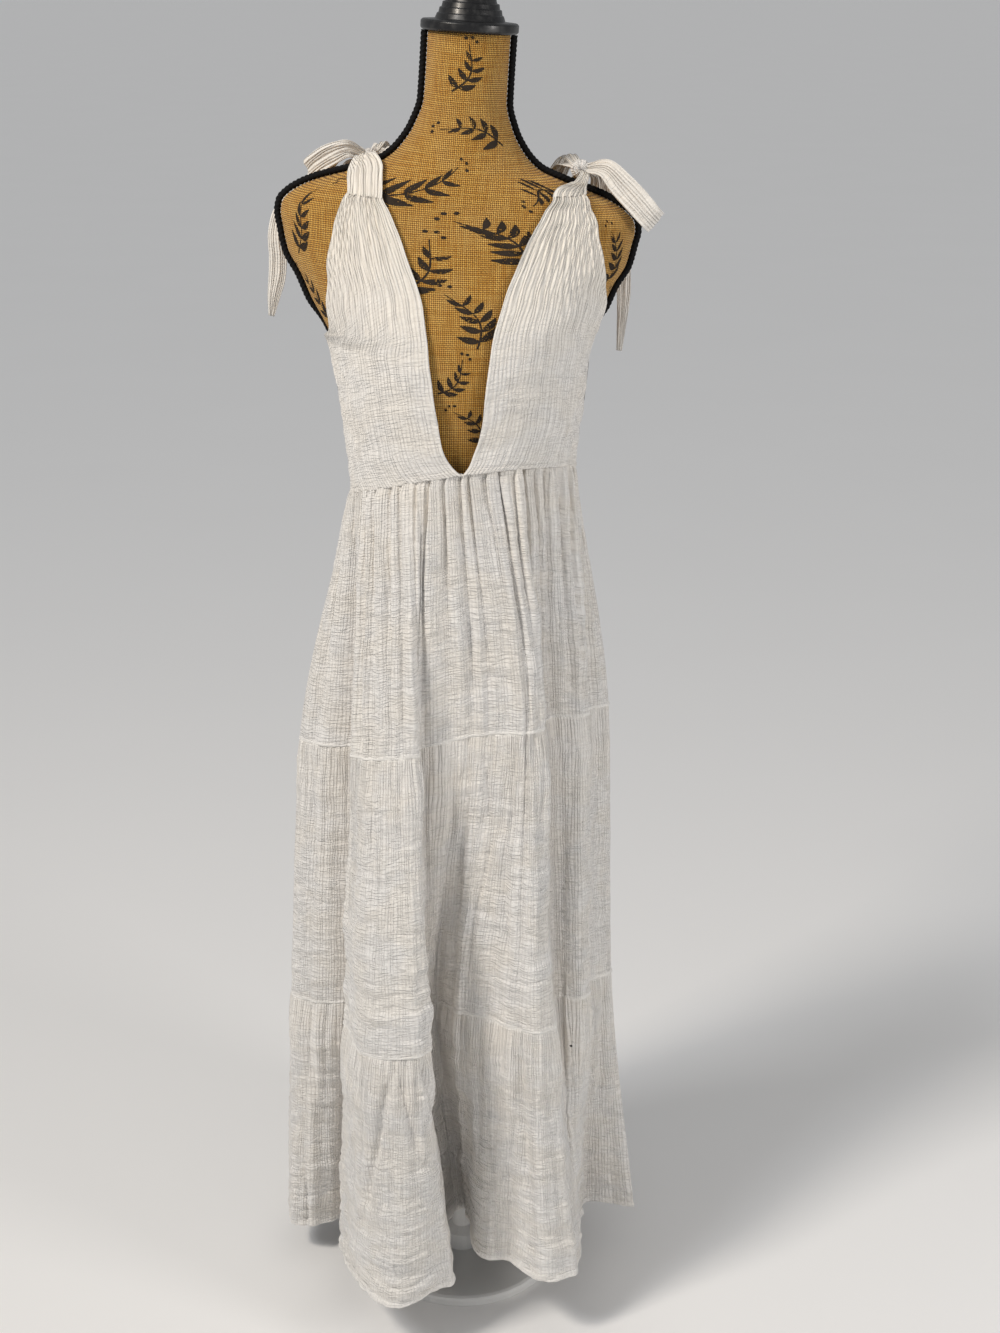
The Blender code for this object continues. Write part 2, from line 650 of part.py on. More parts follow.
def build_knot(shoulder):
    name = "knot_" + shoulder.side
    mesh = bpy.data.meshes.new(name)
    shape = bmesh.new()
    bmesh.ops.create_uvsphere(shape, u_segments=14, v_segments=9, radius=1.0)
    bmesh.ops.scale(shape, verts=shape.verts, vec=KNOT_SIZE)
    shape.to_mesh(mesh)
    shape.free()
    part = bpy.data.objects.new(name, mesh)
    COLLECTION.objects.link(part)
    part.location = lean(shoulder_point(shoulder.knot_x, shoulder.knot_turn, shoulder.knot_lift))
    part.rotation_euler = (0.0, LEAN, 0.0)
    finish(part, CLOTH)


def build_shoulder(shoulder, front_top):
    front = strap_grid(pick_across(front_top, STRAP_COLUMNS), shoulder.knot_x,
                       shoulder.front_turn, shoulder.front_lift, shoulder.narrows)
    cloth_object("strap_front_" + shoulder.side, front, WALL)
    back = strap_grid(back_strap_start(1 if shoulder.side == "right" else -1), shoulder.knot_x,
                      shoulder.back_turn, shoulder.back_lift, BACK_STRAP_NARROWS)
    cloth_object("strap_back_" + shoulder.side, back, WALL)
    build_knot(shoulder)


def at_knot(shoulder, towards):
    """The point where a ribbon that comes from a place meets its shoulder's knot."""
    centre = shoulder_point(shoulder.knot_x, shoulder.knot_turn, shoulder.knot_lift)
    away = towards - centre
    share = math.sqrt(sum((away[axis] / KNOT_SIZE[axis]) ** 2 for axis in range(3)))
    return centre + away / share + away.normalized() * KNOT_GAP


def build_ribbon(ribbon):
    """A band along its middle line, from its knot and for a loop back to it."""
    shoulder = next(row for row in SHOULDERS if row.side == ribbon.side)
    across = Vector(ribbon.across).normalized()
    line = [(Vector((row.x, row.y, row.z)) * MM, row.width * MM, across) for row in ribbon.rows]
    line.insert(0, knot_end(shoulder, line[0][0], ribbon))
    if ribbon.is_loop:
        line.append(knot_end(shoulder, line[-1][0], ribbon))
    shares = [index / RIBBON_STRIPS - 0.5 for index in range(RIBBON_STRIPS + 1)]
    grid = [[lean(middle + side * share * width) for share in shares] for middle, width, side in line]
    cloth_object(ribbon.name, grid, TIE_WALL)


def knot_end(shoulder, towards, ribbon):
    """A ribbon's end at its knot, turned to lie flat against it."""
    place = at_knot(shoulder, towards)
    away = (towards - place).normalized()
    across = Vector(ribbon.across)
    return place, ribbon.knot_width * MM, (across - away * across.dot(away)).normalized()


class Skirt:
    """The skirt's cloth: a place round it, 0 to 1 from the left side by the front, and a level,
    0 at the waist, 1 and 2 at the seams between tiers and 3 at the hem."""

    def __init__(self, folds):
        rings = []
        for row in folds:
            angle = math.radians(row.waist)
            rings.append((oval(angle, 0.0, WAIST_SIDE, WAIST_FRONT, WAIST_BACK, 0.0),
                          Vector((row.seam_1_x, row.seam_1_y, 0.0)) * MM,
                          Vector((row.seam_2_x, row.seam_2_y, 0.0)) * MM,
                          Vector((row.hem_x, row.hem_y, 0.0)) * MM))
        rings.append(rings[0])
        lengths = [sum((b[level] - a[level]).length for level in (1, 2, 3))
                   for a, b in zip(rings, rings[1:])]
        total = sum(lengths)
        self.places = [sum(lengths[:i]) / total for i in range(len(rings))]
        self.rings = rings
        waist = [row.waist for row in folds] + [folds[0].waist + 360]
        self.place_of_waist = Curve(waist, self.places)
        self.right_side = self.places[[row.name for row in folds].index("right_side")]

    def ring_point(self, place, level):
        """A point of one of the four rings, on a smooth closed curve through its folds."""
        place %= 1.0
        places, count = self.places, len(self.places) - 1
        index = max(i for i in range(count) if places[i] <= place)
        ring = [self.rings[(index + k) % count][level] for k in (-1, 0, 1, 2)]
        before = (places[index] - places[index - 1]) if index else 1.0 - places[count - 1]
        span = places[index + 1] - places[index]
        after = places[(index + 1) % count + 1] - places[(index + 1) % count]
        slope_start = (ring[2] - ring[0]) / (before + span)
        slope_end = (ring[3] - ring[1]) / (span + after)
        return hermite(place, places[index], places[index + 1], ring[1], ring[2],
                       slope_start, slope_end)

    def plan(self, place, level):
        """Plan position at any level."""
        rings = [self.ring_point(place, k) for k in range(4)]
        across = [Curve(range(4), [point[axis] for point in rings]).at(level) for axis in (0, 1)]
        return Vector((*across, 0.0))

    def height(self, point, level):
        seams = [seam_height(seam, plan_angle(point)) for seam in (WAIST_SEAM, SEAM_1, SEAM_2, HEM)]
        upper = min(int(level), 2)
        return mix(seams[upper], seams[upper + 1], level - upper)

    def place_step(self, place, level, length):
        """The step in place that covers a length of cloth."""
        step = 0.002
        run = self.plan(place + step, level) - self.plan(place - step, level)
        return length * 2 * step / run.length

    def point(self, place, level, out=0.0):
        """A point of the cloth, moved out along its normal in plan."""
        step = 0.002
        middle = self.plan(place, level)
        run = self.plan(place + step, level) - self.plan(place - step, level)
        outward = Vector((-run.y, run.x, 0.0)).normalized()
        if outward.dot(middle) < 0 and abs(outward.dot(middle.normalized())) > 0.5:
            outward.negate()
        moved = middle + outward * out
        return Vector((moved.x, moved.y, self.height(middle, level)))


def tier_columns(skirt, tier, back):
    """Places of a tier's columns and how far each stands out, as a share of the depth."""
    start, end = (skirt.right_side, 1.0) if back else (0.0, skirt.right_side)
    if tier.number == 1:
        low, high = (90, 270) if back else (-90, 90)
        count = tier.gathers // 2 * len(PLEAT_PROFILE)
        angles = [mix(low, high, i / count) for i in range(count + 1)]
        places = [skirt.place_of_waist.at(angle) for angle in angles]
        outs = [PLEAT_PROFILE[i % len(PLEAT_PROFILE)] for i in range(count + 1)]
    else:
        count = 2 * round(tier.gathers * (end - start))
        places = [mix(start, end, i / count) for i in range(count + 1)]
        outs = [1.0 if i % 2 else -1.0 for i in range(count + 1)]
    places[1] = mix(places[0], places[1], END_COLUMN_SHARE)
    places[-2] = mix(places[-1], places[-2], END_COLUMN_SHARE)
    outs[:2] = outs[-2:] = [0.0, 0.0]
    return places, outs


def build_tier(skirt, tier, back):
    places, outs = tier_columns(skirt, tier, back)
    top, bottom = tier.levels[0], tier.levels[-1]
    grid = []
    for level in tier.levels:
        share = level - top
        depth = mix(tier.depth_top, tier.depth_bottom, smooth(share * 1.6))
        puff = tier.puff * math.sin(math.pi * min(share / 0.3, 1.0))
        ends = [places[0] + skirt.place_step(places[0], level, SIDE_GAP / 2)]
        ends.append(places[-1] - skirt.place_step(places[-1], level, SIDE_GAP / 2))
        row = [skirt.point(place, level, out * depth + puff)
               for place, out in zip([ends[0]] + places[1:-1] + [ends[1]], outs)]
        if level == top:
            drop = (WAIST_GAP if tier.number == 1 else SEAM_GAP) / 2
            row = [point - Vector((0, 0, drop)) for point in row]
        if level == bottom and tier.number < 3:
            row = [point + Vector((0, 0, SEAM_GAP / 2)) for point in row]
        grid.append(row)
    side = "back" if back else "front"
    cloth_object("tier_{}_{}".format(tier.number, side), grid)


def clear_scene():
    for old in list(bpy.data.objects):
        bpy.data.objects.remove(old, do_unlink=True)


def main():
    build_stand()
    build_torso()
    build_neck_cap()
    build_piping("form_piping_left", -1)
    build_piping("form_piping_right", 1)
    top_left = build_front_panel("bodice_front_left", -1, PANEL_LEFT)
    top_right = build_front_panel("bodice_front_right", 1, PANEL_RIGHT)
    build_back()
    build_shoulder(SHOULDERS[0], top_left)
    build_shoulder(SHOULDERS[1], top_right)
    for ribbon in RIBBONS:
        build_ribbon(ribbon)
    skirt = Skirt(FOLDS)
    for tier in TIERS:
        build_tier(skirt, tier, back=False)
        build_tier(skirt, tier, back=True)


clear_scene()
COLLECTION = bpy.data.collections.new("maxi_dress")
bpy.context.scene.collection.children.link(COLLECTION)
main()
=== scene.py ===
"""The visible dress and dress form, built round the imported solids.

Metres, +Z up, the front faces -Y, and left and right are as seen from the front, with -X at the left.
"""

import math
from collections import namedtuple

import bpy
import numpy as np
from mathutils import Matrix, Vector


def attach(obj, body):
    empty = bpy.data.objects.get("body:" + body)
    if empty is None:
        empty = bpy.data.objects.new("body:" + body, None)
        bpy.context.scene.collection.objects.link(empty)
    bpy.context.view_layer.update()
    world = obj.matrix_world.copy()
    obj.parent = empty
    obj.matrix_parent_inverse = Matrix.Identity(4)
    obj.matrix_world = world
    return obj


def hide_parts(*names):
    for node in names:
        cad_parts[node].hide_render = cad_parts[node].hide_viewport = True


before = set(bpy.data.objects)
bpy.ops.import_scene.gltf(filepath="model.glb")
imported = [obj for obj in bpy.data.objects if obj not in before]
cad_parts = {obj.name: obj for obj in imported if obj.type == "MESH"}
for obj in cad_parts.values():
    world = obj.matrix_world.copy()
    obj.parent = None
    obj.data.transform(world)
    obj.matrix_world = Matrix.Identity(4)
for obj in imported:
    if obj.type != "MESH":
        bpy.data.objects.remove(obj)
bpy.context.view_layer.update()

MM = 0.001
TURN = 2 * math.pi


def table(columns, rows, scale=None):
    """Rows whose columns have names, their numbers multiplied by a scale where there is one."""
    row_of = namedtuple("Row", columns)
    return [row_of(*([value * scale for value in row] if scale else row)) for row in rows]



# The form: half width at the sides, depth to front and back, and how far its middle lies behind the axis.
FORM = table("height side front back behind", (
    (822, 75, 58, 62, 0), (835, 98, 75, 80, 0), (860, 112, 86, 90, 0), (900, 117, 92, 94, 0),
    (950, 117, 95, 94, 0), (1000, 114, 96, 90, 0), (1050, 112, 97, 88, 0), (1100, 115, 101, 90, 0),
    (1150, 124, 110, 94, 0), (1190, 133, 118, 97, 0), (1224, 142, 122, 99, 2), (1249, 153, 121, 100, 4),
    (1269, 164, 117, 100, 6), (1294, 175, 110, 99, 8), (1317, 188.5, 102, 97, 10),
    (1343, 194.5, 93, 93, 11), (1356, 197, 88, 90, 12), (1366, 195.5, 84, 88, 12),
    (1375, 188, 80.5, 85.5, 12), (1384, 174.5, 77, 83, 12), (1392, 157, 74, 80, 12),
    (1404.6, 116.7, 68, 75, 12), (1416.6, 85.8, 63, 70, 12), (1435, 66.4, 56, 63, 12),
    (1457, 53.5, 50, 55, 12), (1486, 45, 46, 48, 10), (1527, 44.5, 45, 46, 9),
    (1556, 44.5, 44.5, 45.5, 8),
), MM)
# The form leans to the right from the waist up, and what it wears leans with it.
LEAN = math.radians(3.6)
LEAN_START = 1.15
LEAN_FULL = 1.40
LEAN_PIVOT = 1.43

PIPING_RADIUS = 4.2 * MM
PIPING_BOTTOM = 0.90
PIPING_UNDER_CLOTH = 2.2 * MM
PIPING_NARROWS = 1.240
PIPING_GAP = 0.4 * MM

# Neck cap: radius and height over the neck, bottom to top.
NECK_CAP = table("radius height", (
    (0, 0.5), (51, 0.5), (53, 2.5), (53, 9.5), (51, 11.5), (38, 12.5), (36, 18), (34.5, 18.5),
    (33.5, 24), (31.5, 24.5), (30.5, 30), (28, 30.5), (26.5, 36), (12, 42), (12, 46), (18, 52),
    (18, 62), (11, 69.5), (0, 71.5),
), MM)
# How far the bodice stands off the form.
BODICE_GAPS = table("height side front back", (
    (1000, 16.5, 17.5, 16), (1050, 16.5, 17, 16), (1100, 16.5, 16, 14), (1150, 14, 12.5, 10),
    (1190, 10, 9, 8), (1225, 7.4, 6.5, 7), (1250, 6.8, 6, 6), (1275, 5.8, 5.2, 5.5), (1300, 5, 4.8, 5),
    (1420, 5, 5, 5),
), MM)

CHEST_BOTTOM = 1.23
CHEST_TOP = 1.31

# Front panels: distance of the V edge and of the armhole edge from the middle, at each height.
# Where the armhole edge has reached the side seam, its column holds None.
PANEL_LEFT = table("height v_edge arm_edge", (
    (1.098, 0.0004, None), (1.107, 0.0095, None), (1.119, 0.0170, None), (1.135, 0.0225, None),
    (1.158, 0.0262, None), (1.190, 0.0304, None), (1.222, 0.0325, None), (1.245, 0.0335, 0.1420),
    (1.275, 0.0368, 0.1435), (1.303, 0.0450, 0.1418), (1.330, 0.0562, 0.1395), (1.350, 0.0650, 0.1358),
    (1.368, 0.0745, 0.1308), (1.383, 0.0840, 0.1230),
))
PANEL_RIGHT = table("height v_edge arm_edge", (
    (1.098, 0.0004, None), (1.107, 0.0078, None), (1.119, 0.0124, None), (1.135, 0.0178, None),
    (1.158, 0.0224, None), (1.190, 0.0262, None), (1.225, 0.0325, None), (1.252, 0.0380, 0.1575),
    (1.282, 0.0490, 0.1645), (1.311, 0.0605, 0.1632), (1.338, 0.0722, 0.1590), (1.360, 0.0832, 0.1535),
    (1.378, 0.0932, 0.1470), (1.392, 0.1025, 0.1395),
))
BACK_TOP_SIDE = 1.222
BACK_TOP_MIDDLE = 1.205

# Seam heights: mean at the sides, rise from left to right, and lift at the front.
Seam = namedtuple("Seam", "side rise front")
WAIST_SEAM = Seam(1.062, 0.017, 0.036)
SEAM_1 = Seam(0.762, 0.022, 0.023)
SEAM_2 = Seam(0.404, 0.015, 0.030)
HEM = Seam(0.057, 0.012, 0.035)
BACK_LIFT_SHARE = 0.3

WAIST_SIDE = 129 * MM
WAIST_FRONT = 115 * MM
WAIST_BACK = 104 * MM

# The skirt's folds, a row for each crest, edge and valley, round from the left side by the front:
# angle on the waist seam in degrees, then plan position in millimetres at the two seams and the hem.
FOLDS = table("name waist seam_1_x seam_1_y seam_2_x seam_2_y hem_x hem_y", (
    ("left_side", -90, -197, 0, -217, 0, -229, 0),
    ("left_panel", -76, -172, -32, -188, -30, -202, -18),
    ("left_valley", -66, -133, -52, -143, -42, -155, 4),
    ("fold_1_start", -59, -127, -98, -139, -108, -154, -78),
    ("fold_1_left", -52, -115, -123, -124, -188, -141, -148),
    ("fold_1_shoulder", -44, -95, -137, -102, -214, -112, -200),
    ("fold_1_crest", -35, -75, -144, -72, -222, -78, -230),
    ("fold_1_right", -27, -60, -145, -47, -218, -38, -211),
    ("fold_1_edge", -21, -51, -131, -42, -180, -14, -172),
    ("recess_left", -15, -42, -116, -45, -112, -20, -66),
    ("recess", -8, -10, -115, -30, -94, -4, -40),
    ("recess_right", 0, 18, -112, -8, -122, 11, -52),
    ("fold_2_edge", 6, 42, -113, 12, -136, 15, -122),
    ("fold_2_left", 11, 58, -117, 32, -146, 28, -146),
    ("fold_2_middle", 16, 72, -119, 58, -168, 56, -150),
    ("fold_2_crest", 22, 83, -116, 90, -182, 102, -190),
    ("fold_2_right", 30, 93, -104, 108, -158, 139, -172),
    ("valley_2", 42, 101, -72, 114, -92, 147, -128),
    ("fold_3", 54, 120, -62, 130, -90, 148, -94),
    ("fold_3_crest", 65, 143, -56, 150, -88, 152, -64),
    ("valley_3", 76, 152, -26, 160, -32, 166, 6),
    ("right_side", 90, 177, 0, 190, 2, 229, -4),
    ("right_back_valley", 104, 152, 40, 160, 44, 168, 48),
    ("right_back_crest", 118, 144, 88, 172, 104, 198, 118),
    ("back_valley_1", 136, 93, 101, 100, 112, 104, 118),
    ("back_crest_1", 152, 70, 142, 80, 182, 88, 212),
    ("back_valley_2", 168, 28, 124, 26, 136, 24, 140),
    ("back_crest_2", 184, -10, 152, -16, 194, -20, 226),
    ("back_valley_3", 202, -50, 120, -56, 134, -60, 138),
    ("back_crest_3", 218, -98, 128, -122, 160, -138, 184),
    ("back_valley_4", 240, -120, 76, -130, 84, -136, 88),
    ("left_back_crest", 256, -168, 54, -196, 66, -212, 74),
))

# Ties: a shoulder's straps climb from the bodice to its knot, measured round the shoulder from the front.
SHOULDER_COLUMNS = """side knot_x knot_turn knot_lift knot_tilt knot_seed
    front_turn front_lift back_turn back_lift narrows"""
SHOULDERS = table(SHOULDER_COLUMNS, (
    ("left", -0.102, 117, 11.5 * MM, 0.770735, 800, 111.4, 10.5 * MM, 123.6, 7.5 * MM, 0.3),
    ("right", 0.131, 88, 21.0 * MM, 0.120735, 820, 81.0, 18.5 * MM, 94.0, 15.5 * MM, 0.1),
))
SHOULDER_Y = 12 * MM
SHOULDER_Z = 1.33
STRAP_AT_KNOT = 11 * MM
STRAP_LIFT = 4.5 * MM
STRAP_OVER_PIPING = 7.0 * MM
BACK_STRAP_X = 92 * MM
BACK_STRAP_WIDTH = 30 * MM
BACK_STRAP_NARROWS = 0.1
KNOT_SIZE = np.array(Vector((11.0, 9.5, 9.5)) * MM)

# Bow loops and tails: points of the ribbon's middle line and its width there, in millimetres.
# A ribbon starts at its knot, a loop ends there too, and its direction across stays the same.
RIBBONS = table("name side across knot_width is_loop rows", (
    ("loop_outer_right", "right", (0.55, 0.0, 0.83), 9, True, (
        (158, -11, 1424, 21), (176, -17, 1409, 27), (196, -23, 1391, 28), (210, -24, 1377, 27),
        (216, -17, 1371, 27), (209, -10, 1377, 27), (194, -7, 1391, 27), (174, -3, 1409, 25),
        (159, -1, 1424, 17))),
    ("loop_inner_right", "right", (0.97, 0.0, 0.24), 10, True, (
        (117, 34, 1424, 17), (112, 54, 1416, 21), (107, 78, 1396, 23), (105, 94, 1374, 23),
        (105, 104, 1356, 23), (106, 107, 1362, 23), (108, 99, 1388, 23), (112, 80, 1412, 21),
        (119, 55, 1429, 16))),
    ("loop_outer_left", "left", (-0.42, 0.0, 0.91), 10, True, (
        (-127, 37, 1423, 18), (-147, 41, 1415, 24), (-162, 46, 1404, 24), (-170, 51, 1396, 24),
        (-172, 58, 1394, 24), (-166, 63, 1399, 24), (-150, 60, 1410, 23), (-130, 50, 1424, 16))),
    ("loop_inner_left", "left", (0.97, 0.0, 0.24), 10, True, (
        (-86, 66, 1424, 16), (-80, 80, 1414, 21), (-76, 94, 1396, 23), (-75, 103, 1374, 23),
        (-76, 110, 1360, 23), (-78, 112, 1368, 23), (-82, 105, 1394, 22), (-87, 90, 1416, 18),
        (-92, 74, 1427, 14))),
    ("tail_outer_right", "right", (0.96, 0.0, 0.26), 9, False, (
        (157, 16, 1428, 14), (170, 48, 1407, 19), (180, 68, 1368, 20), (187, 76, 1328, 19),
        (191, 78, 1298, 18), (192, 77, 1266, 15), (189, 76, 1234, 11), (185, 75, 1200, 6))),
    ("tail_inner_right", "right", (1.0, 0.0, 0.1), 9, False, (
        (150, 35, 1413, 12), (155, 58, 1393, 17), (155, 76, 1358, 19), (156, 83, 1322, 19),
        (156, 85, 1284, 16), (154, 85, 1246, 12), (152, 85, 1216, 6))),
    ("tail_outer_left", "left", (0.93, 0.0, 0.37), 9, False, (
        (-134, 61, 1417, 14), (-160, 70, 1391, 19), (-183, 56, 1370, 20), (-199, 45, 1348, 20),
        (-204, 40, 1326, 20), (-203, 38, 1304, 20), (-205, 37, 1282, 19), (-210, 37, 1262, 14),
        (-214, 37, 1242, 6))),
    ("tail_inner_left", "left", (1.0, 0.0, -0.1), 9, False, (
        (-126, 73, 1403, 12), (-131, 87, 1378, 16), (-134, 95, 1346, 19), (-135, 98, 1312, 19),
        (-135, 99, 1276, 16), (-133, 99, 1240, 6))),
))


def ease(share):
    """Ease from 0 to 1."""
    share = np.clip(share, 0.0, 1.0)
    return share * share * (3.0 - 2.0 * share)


def mix(start, end, share):
    return start + (end - start) * share


def level_slopes(places, values):
    """Slopes that keep the curve through each point free of overshoot, along the first axis."""
    spans = np.diff(places).reshape([-1] + [1] * (values.ndim - 1))
    steps = np.diff(values, axis=0) / spans
    product = steps[:-1] * steps[1:]
    total = steps[:-1] + steps[1:]
    inner = np.where(product > 0, 2 * product / np.where(product > 0, total, 1.0), 0.0)
    return np.concatenate([steps[:1], inner, steps[-1:]])


def hermite(t, span, start, end, slope_start, slope_end):
    """A cubic between two values with a slope at each."""
    leaving, arriving = t * (1 - t) ** 2 * span, t * t * (t - 1) * span
    return mix(start, end, ease(t)) + leaving * slope_start + arriving * slope_end


def along_curve(places, values, slopes, at):
    """Values at some places of a curve that is given by its values and slopes along the first axis."""
    index = np.clip(np.searchsorted(places, at, side="right") - 1, 0, len(places) - 2)
    span = places[index + 1] - places[index]
    spare = (...,) + (None,) * (values.ndim - 1)
    t, span = ((at - places[index]) / span)[spare], span[spare]
    return hermite(t, span, values[index], values[index + 1], slopes[index], slopes[index + 1])


class Curve:
    """A smooth value, or row of values, along a row of places."""

    def __init__(self, places, values):
        self.places, self.values = np.array(places, float), np.array(values, float)
        self.slopes = level_slopes(self.places, self.values)

    def __call__(self, place):
        place = np.clip(np.asarray(place, float), self.places[0], self.places[-1])
        return along_curve(self.places, self.values, self.slopes, place)


def by_height(rows, name):
    return Curve([row.height for row in rows], [getattr(row, name) for row in rows])


FORM_SIDE, FORM_FRONT, FORM_BACK, FORM_BEHIND = (
    by_height(FORM, name) for name in ("side", "front", "back", "behind"))
GAP_SIDE, GAP_FRONT, GAP_BACK = (by_height(BODICE_GAPS, name) for name in ("side", "front", "back"))


def stack(*parts):
    return np.stack(np.broadcast_arrays(*parts), axis=-1)


def unit(vectors):
    return vectors / np.maximum(np.linalg.norm(vectors, axis=-1, keepdims=True), 1e-9)


def lean(points):
    """Turn the points of the upper form about the pivot by their share of the lean."""
    x, y, z = points[..., 0], points[..., 1], points[..., 2]
    turn = LEAN * ease((z - LEAN_START) / (LEAN_FULL - LEAN_START))
    rise = z - LEAN_PIVOT
    leant = stack(x * np.cos(turn) + rise * np.sin(turn), y,
                  LEAN_PIVOT + rise * np.cos(turn) - x * np.sin(turn))
    return np.where((turn > 0)[..., None], leant, points)


def oval(angle, height, side, front, back, behind):
    depth = np.where(np.cos(angle) > 0, front, back)
    return stack(side * np.sin(angle), behind - depth * np.cos(angle), height)


def form_point(angle, height):
    return oval(angle, height, FORM_SIDE(height), FORM_FRONT(height), FORM_BACK(height), FORM_BEHIND(height))


def form_normal(angle, height):
    round_it = form_point(angle + MM, height) - form_point(angle - MM, height)
    up_it = form_point(angle, height + MM) - form_point(angle, height - MM)
    return unit(np.cross(round_it, up_it))


def bodice_point(angle, height, out=0.0):
    """A point of the bodice's cloth, moved out by a depth."""
    sloping = ease((height - CHEST_BOTTOM) / (CHEST_TOP - CHEST_BOTTOM))
    side, front, back = (gap(height) + out for gap in (GAP_SIDE, GAP_FRONT, GAP_BACK))
    level = 1.0 - sloping
    point = oval(angle, height, FORM_SIDE(height) + level * side, FORM_FRONT(height) + level * front,
                 FORM_BACK(height) + level * back, FORM_BEHIND(height))
    depth = mix(np.where(np.cos(angle) > 0, front, back), side, np.sin(angle) ** 2)
    return point + form_normal(angle, height) * (depth * sloping)[..., None]


def plan_angle(points):
    return np.arctan2(points[..., 0], -points[..., 1])


def seam_height(seam, angle):
    front = np.cos(angle)
    lift = np.where(front > 0, front, -front * BACK_LIFT_SHARE)
    return seam.side + seam.rise * np.sin(angle) + seam.front * lift


def waist_height(angle):
    return seam_height(WAIST_SEAM, plan_angle(bodice_point(angle, np.full_like(angle, WAIST_SEAM.side))))


def noise(u, v, seed):
    """Smooth random values from -1 to 1, one for each unit cell."""
    cells = np.random.default_rng(seed).uniform(-1, 1, (256, 256))
    cell_u, cell_v = np.floor(u).astype(int), np.floor(v).astype(int)
    share_u, share_v = ease(u - cell_u), ease(v - cell_v)
    low, high = (mix(cells[cell_u % 256, row % 256], cells[(cell_u + 1) % 256, row % 256], share_u)
                 for row in (cell_v, cell_v + 1))
    return mix(low, high, share_v)


def fall(value, start, run):
    """From 1 to 0 over a run that begins at a start."""
    return 1 - ease((value - start) / run)


def hump(value, middle, reach):
    """A smooth hump of height 1 at a middle, that fades out over about twice its reach."""
    return np.exp(-((value - middle) / reach) ** 2)


def puffed(value):
    """Rounded ridges that meet in sharp valleys, from a smooth value of -1 to 1."""
    return 1.7 * np.sqrt(np.abs(value) + 0.02) - 0.9


def pleated(phase):
    """Rounded ridges from -1 to 1 that meet in sharp valleys, one to each unit."""
    return 1 - 2 * np.abs(np.sin(math.pi * phase))


def crinkle(s, v, up, across, seed):
    """The gauze's crinkles at places across and along the cloth.

    Ribs run up it and creases across it, each of two sizes, and where ribs are strong creases are weak.
    """
    wander = 4 * MM * noise(s / 0.05, v / 0.06, seed + 5)
    narrow_ribs = puffed(noise((s + wander) / (4 * MM), v / 0.09, seed))
    broad_ribs = puffed(noise((s + wander) / (9 * MM), v / 0.20, seed + 1))
    narrow_creases = puffed(noise(s / 0.024, (v + wander) / (5 * MM), seed + 2))
    broad_creases = puffed(noise(s / 0.06, (v + 2 * wander) / (11 * MM), seed + 3))
    ribs = 0.7 * narrow_ribs + 0.8 * broad_ribs
    creases = 0.7 * narrow_creases + 0.9 * broad_creases
    patches = 0.8 + 0.7 * noise(s / 0.05, v / 0.05, seed + 4)
    return (up * ribs * patches + across * creases * (1.6 - patches)) * CRINKLE


def put_in_scene(name, data):
    thing = bpy.data.objects.new(name, data)
    bpy.context.scene.collection.objects.link(thing)
    return thing


def add_sheet(node, kind, points, across, along, look, closed=False, flip=False, doubled=None, drawn_and_warm_light=0.0):
    """The visible piece of one solid: a sheet through a grid of points.

    One UV map holds its distances over the cloth. The other holds its share of cloth lying double at seams
    and hems, below 0 where painted shade darkens it between folds, and how far it is pulled up into ribs,
    which also tints it cream, partly as painted warm light.
    """
    rows, columns = points.shape[:2]
    across, along, _ = np.broadcast_arrays(across, along, points[..., 0])
    strips = columns if closed else columns - 1
    start, step = np.arange(rows - 1)[:, None] * columns, np.arange(strips)[None, :]
    low, high = start + step, start + (step + 1) % columns
    faces = np.stack([low, high, high + columns, low + columns], axis=-1).reshape(-1, 4)
    if flip:
        faces = faces[:, ::-1]
    mesh = bpy.data.meshes.new(node + "_" + kind)
    mesh.vertices.add(rows * columns)
    mesh.vertices.foreach_set("co", points.reshape(-1).astype(np.float32))
    mesh.loops.add(faces.size)
    mesh.loops.foreach_set("vertex_index", faces.reshape(-1).astype(np.int32))
    mesh.polygons.add(len(faces))
    mesh.polygons.foreach_set("loop_start", (np.arange(len(faces)) * 4).astype(np.int32))
    mesh.update(calc_edges=True)
    mesh.polygons.foreach_set("use_smooth", np.ones(len(faces), bool))
    cloth = stack(across, along).reshape(-1, 2)[faces]
    if closed:
        last = np.tile(np.arange(strips) == strips - 1, rows - 1)
        round_it = np.repeat((2 * across[:, -1] - across[:, -2])[:-1], strips)
        cloth[last, 1:3, 0] = round_it[last, None]
    maps = {"cloth": cloth}
    if doubled is not None:
        shares = stack(doubled, drawn_and_warm_light, points[..., 0])[..., :2]
        maps["doubled"] = shares.reshape(-1, 2)[faces]
    for name, values in maps.items():
        mesh.uv_layers.new(name=name).data.foreach_set("uv", values.reshape(-1).astype(np.float32))
    mesh.validate()
    mesh.materials.append(look)
    piece = put_in_scene(node + "_" + kind, mesh)
    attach(piece, "root")
    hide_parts(node)
    return piece


def lengths_along(points, axis):
    """Distance over the cloth from its first row or column."""
    steps = np.linalg.norm(np.diff(points, axis=axis), axis=-1)
    zero = np.zeros_like(np.take(steps, [0], axis=axis))
    return np.concatenate([zero, np.cumsum(steps, axis=axis)], axis=axis)


def over_cloth(points):
    """Distances over the cloth across its rows and along its columns."""
    return lengths_along(points, 1), lengths_along(points, 0)


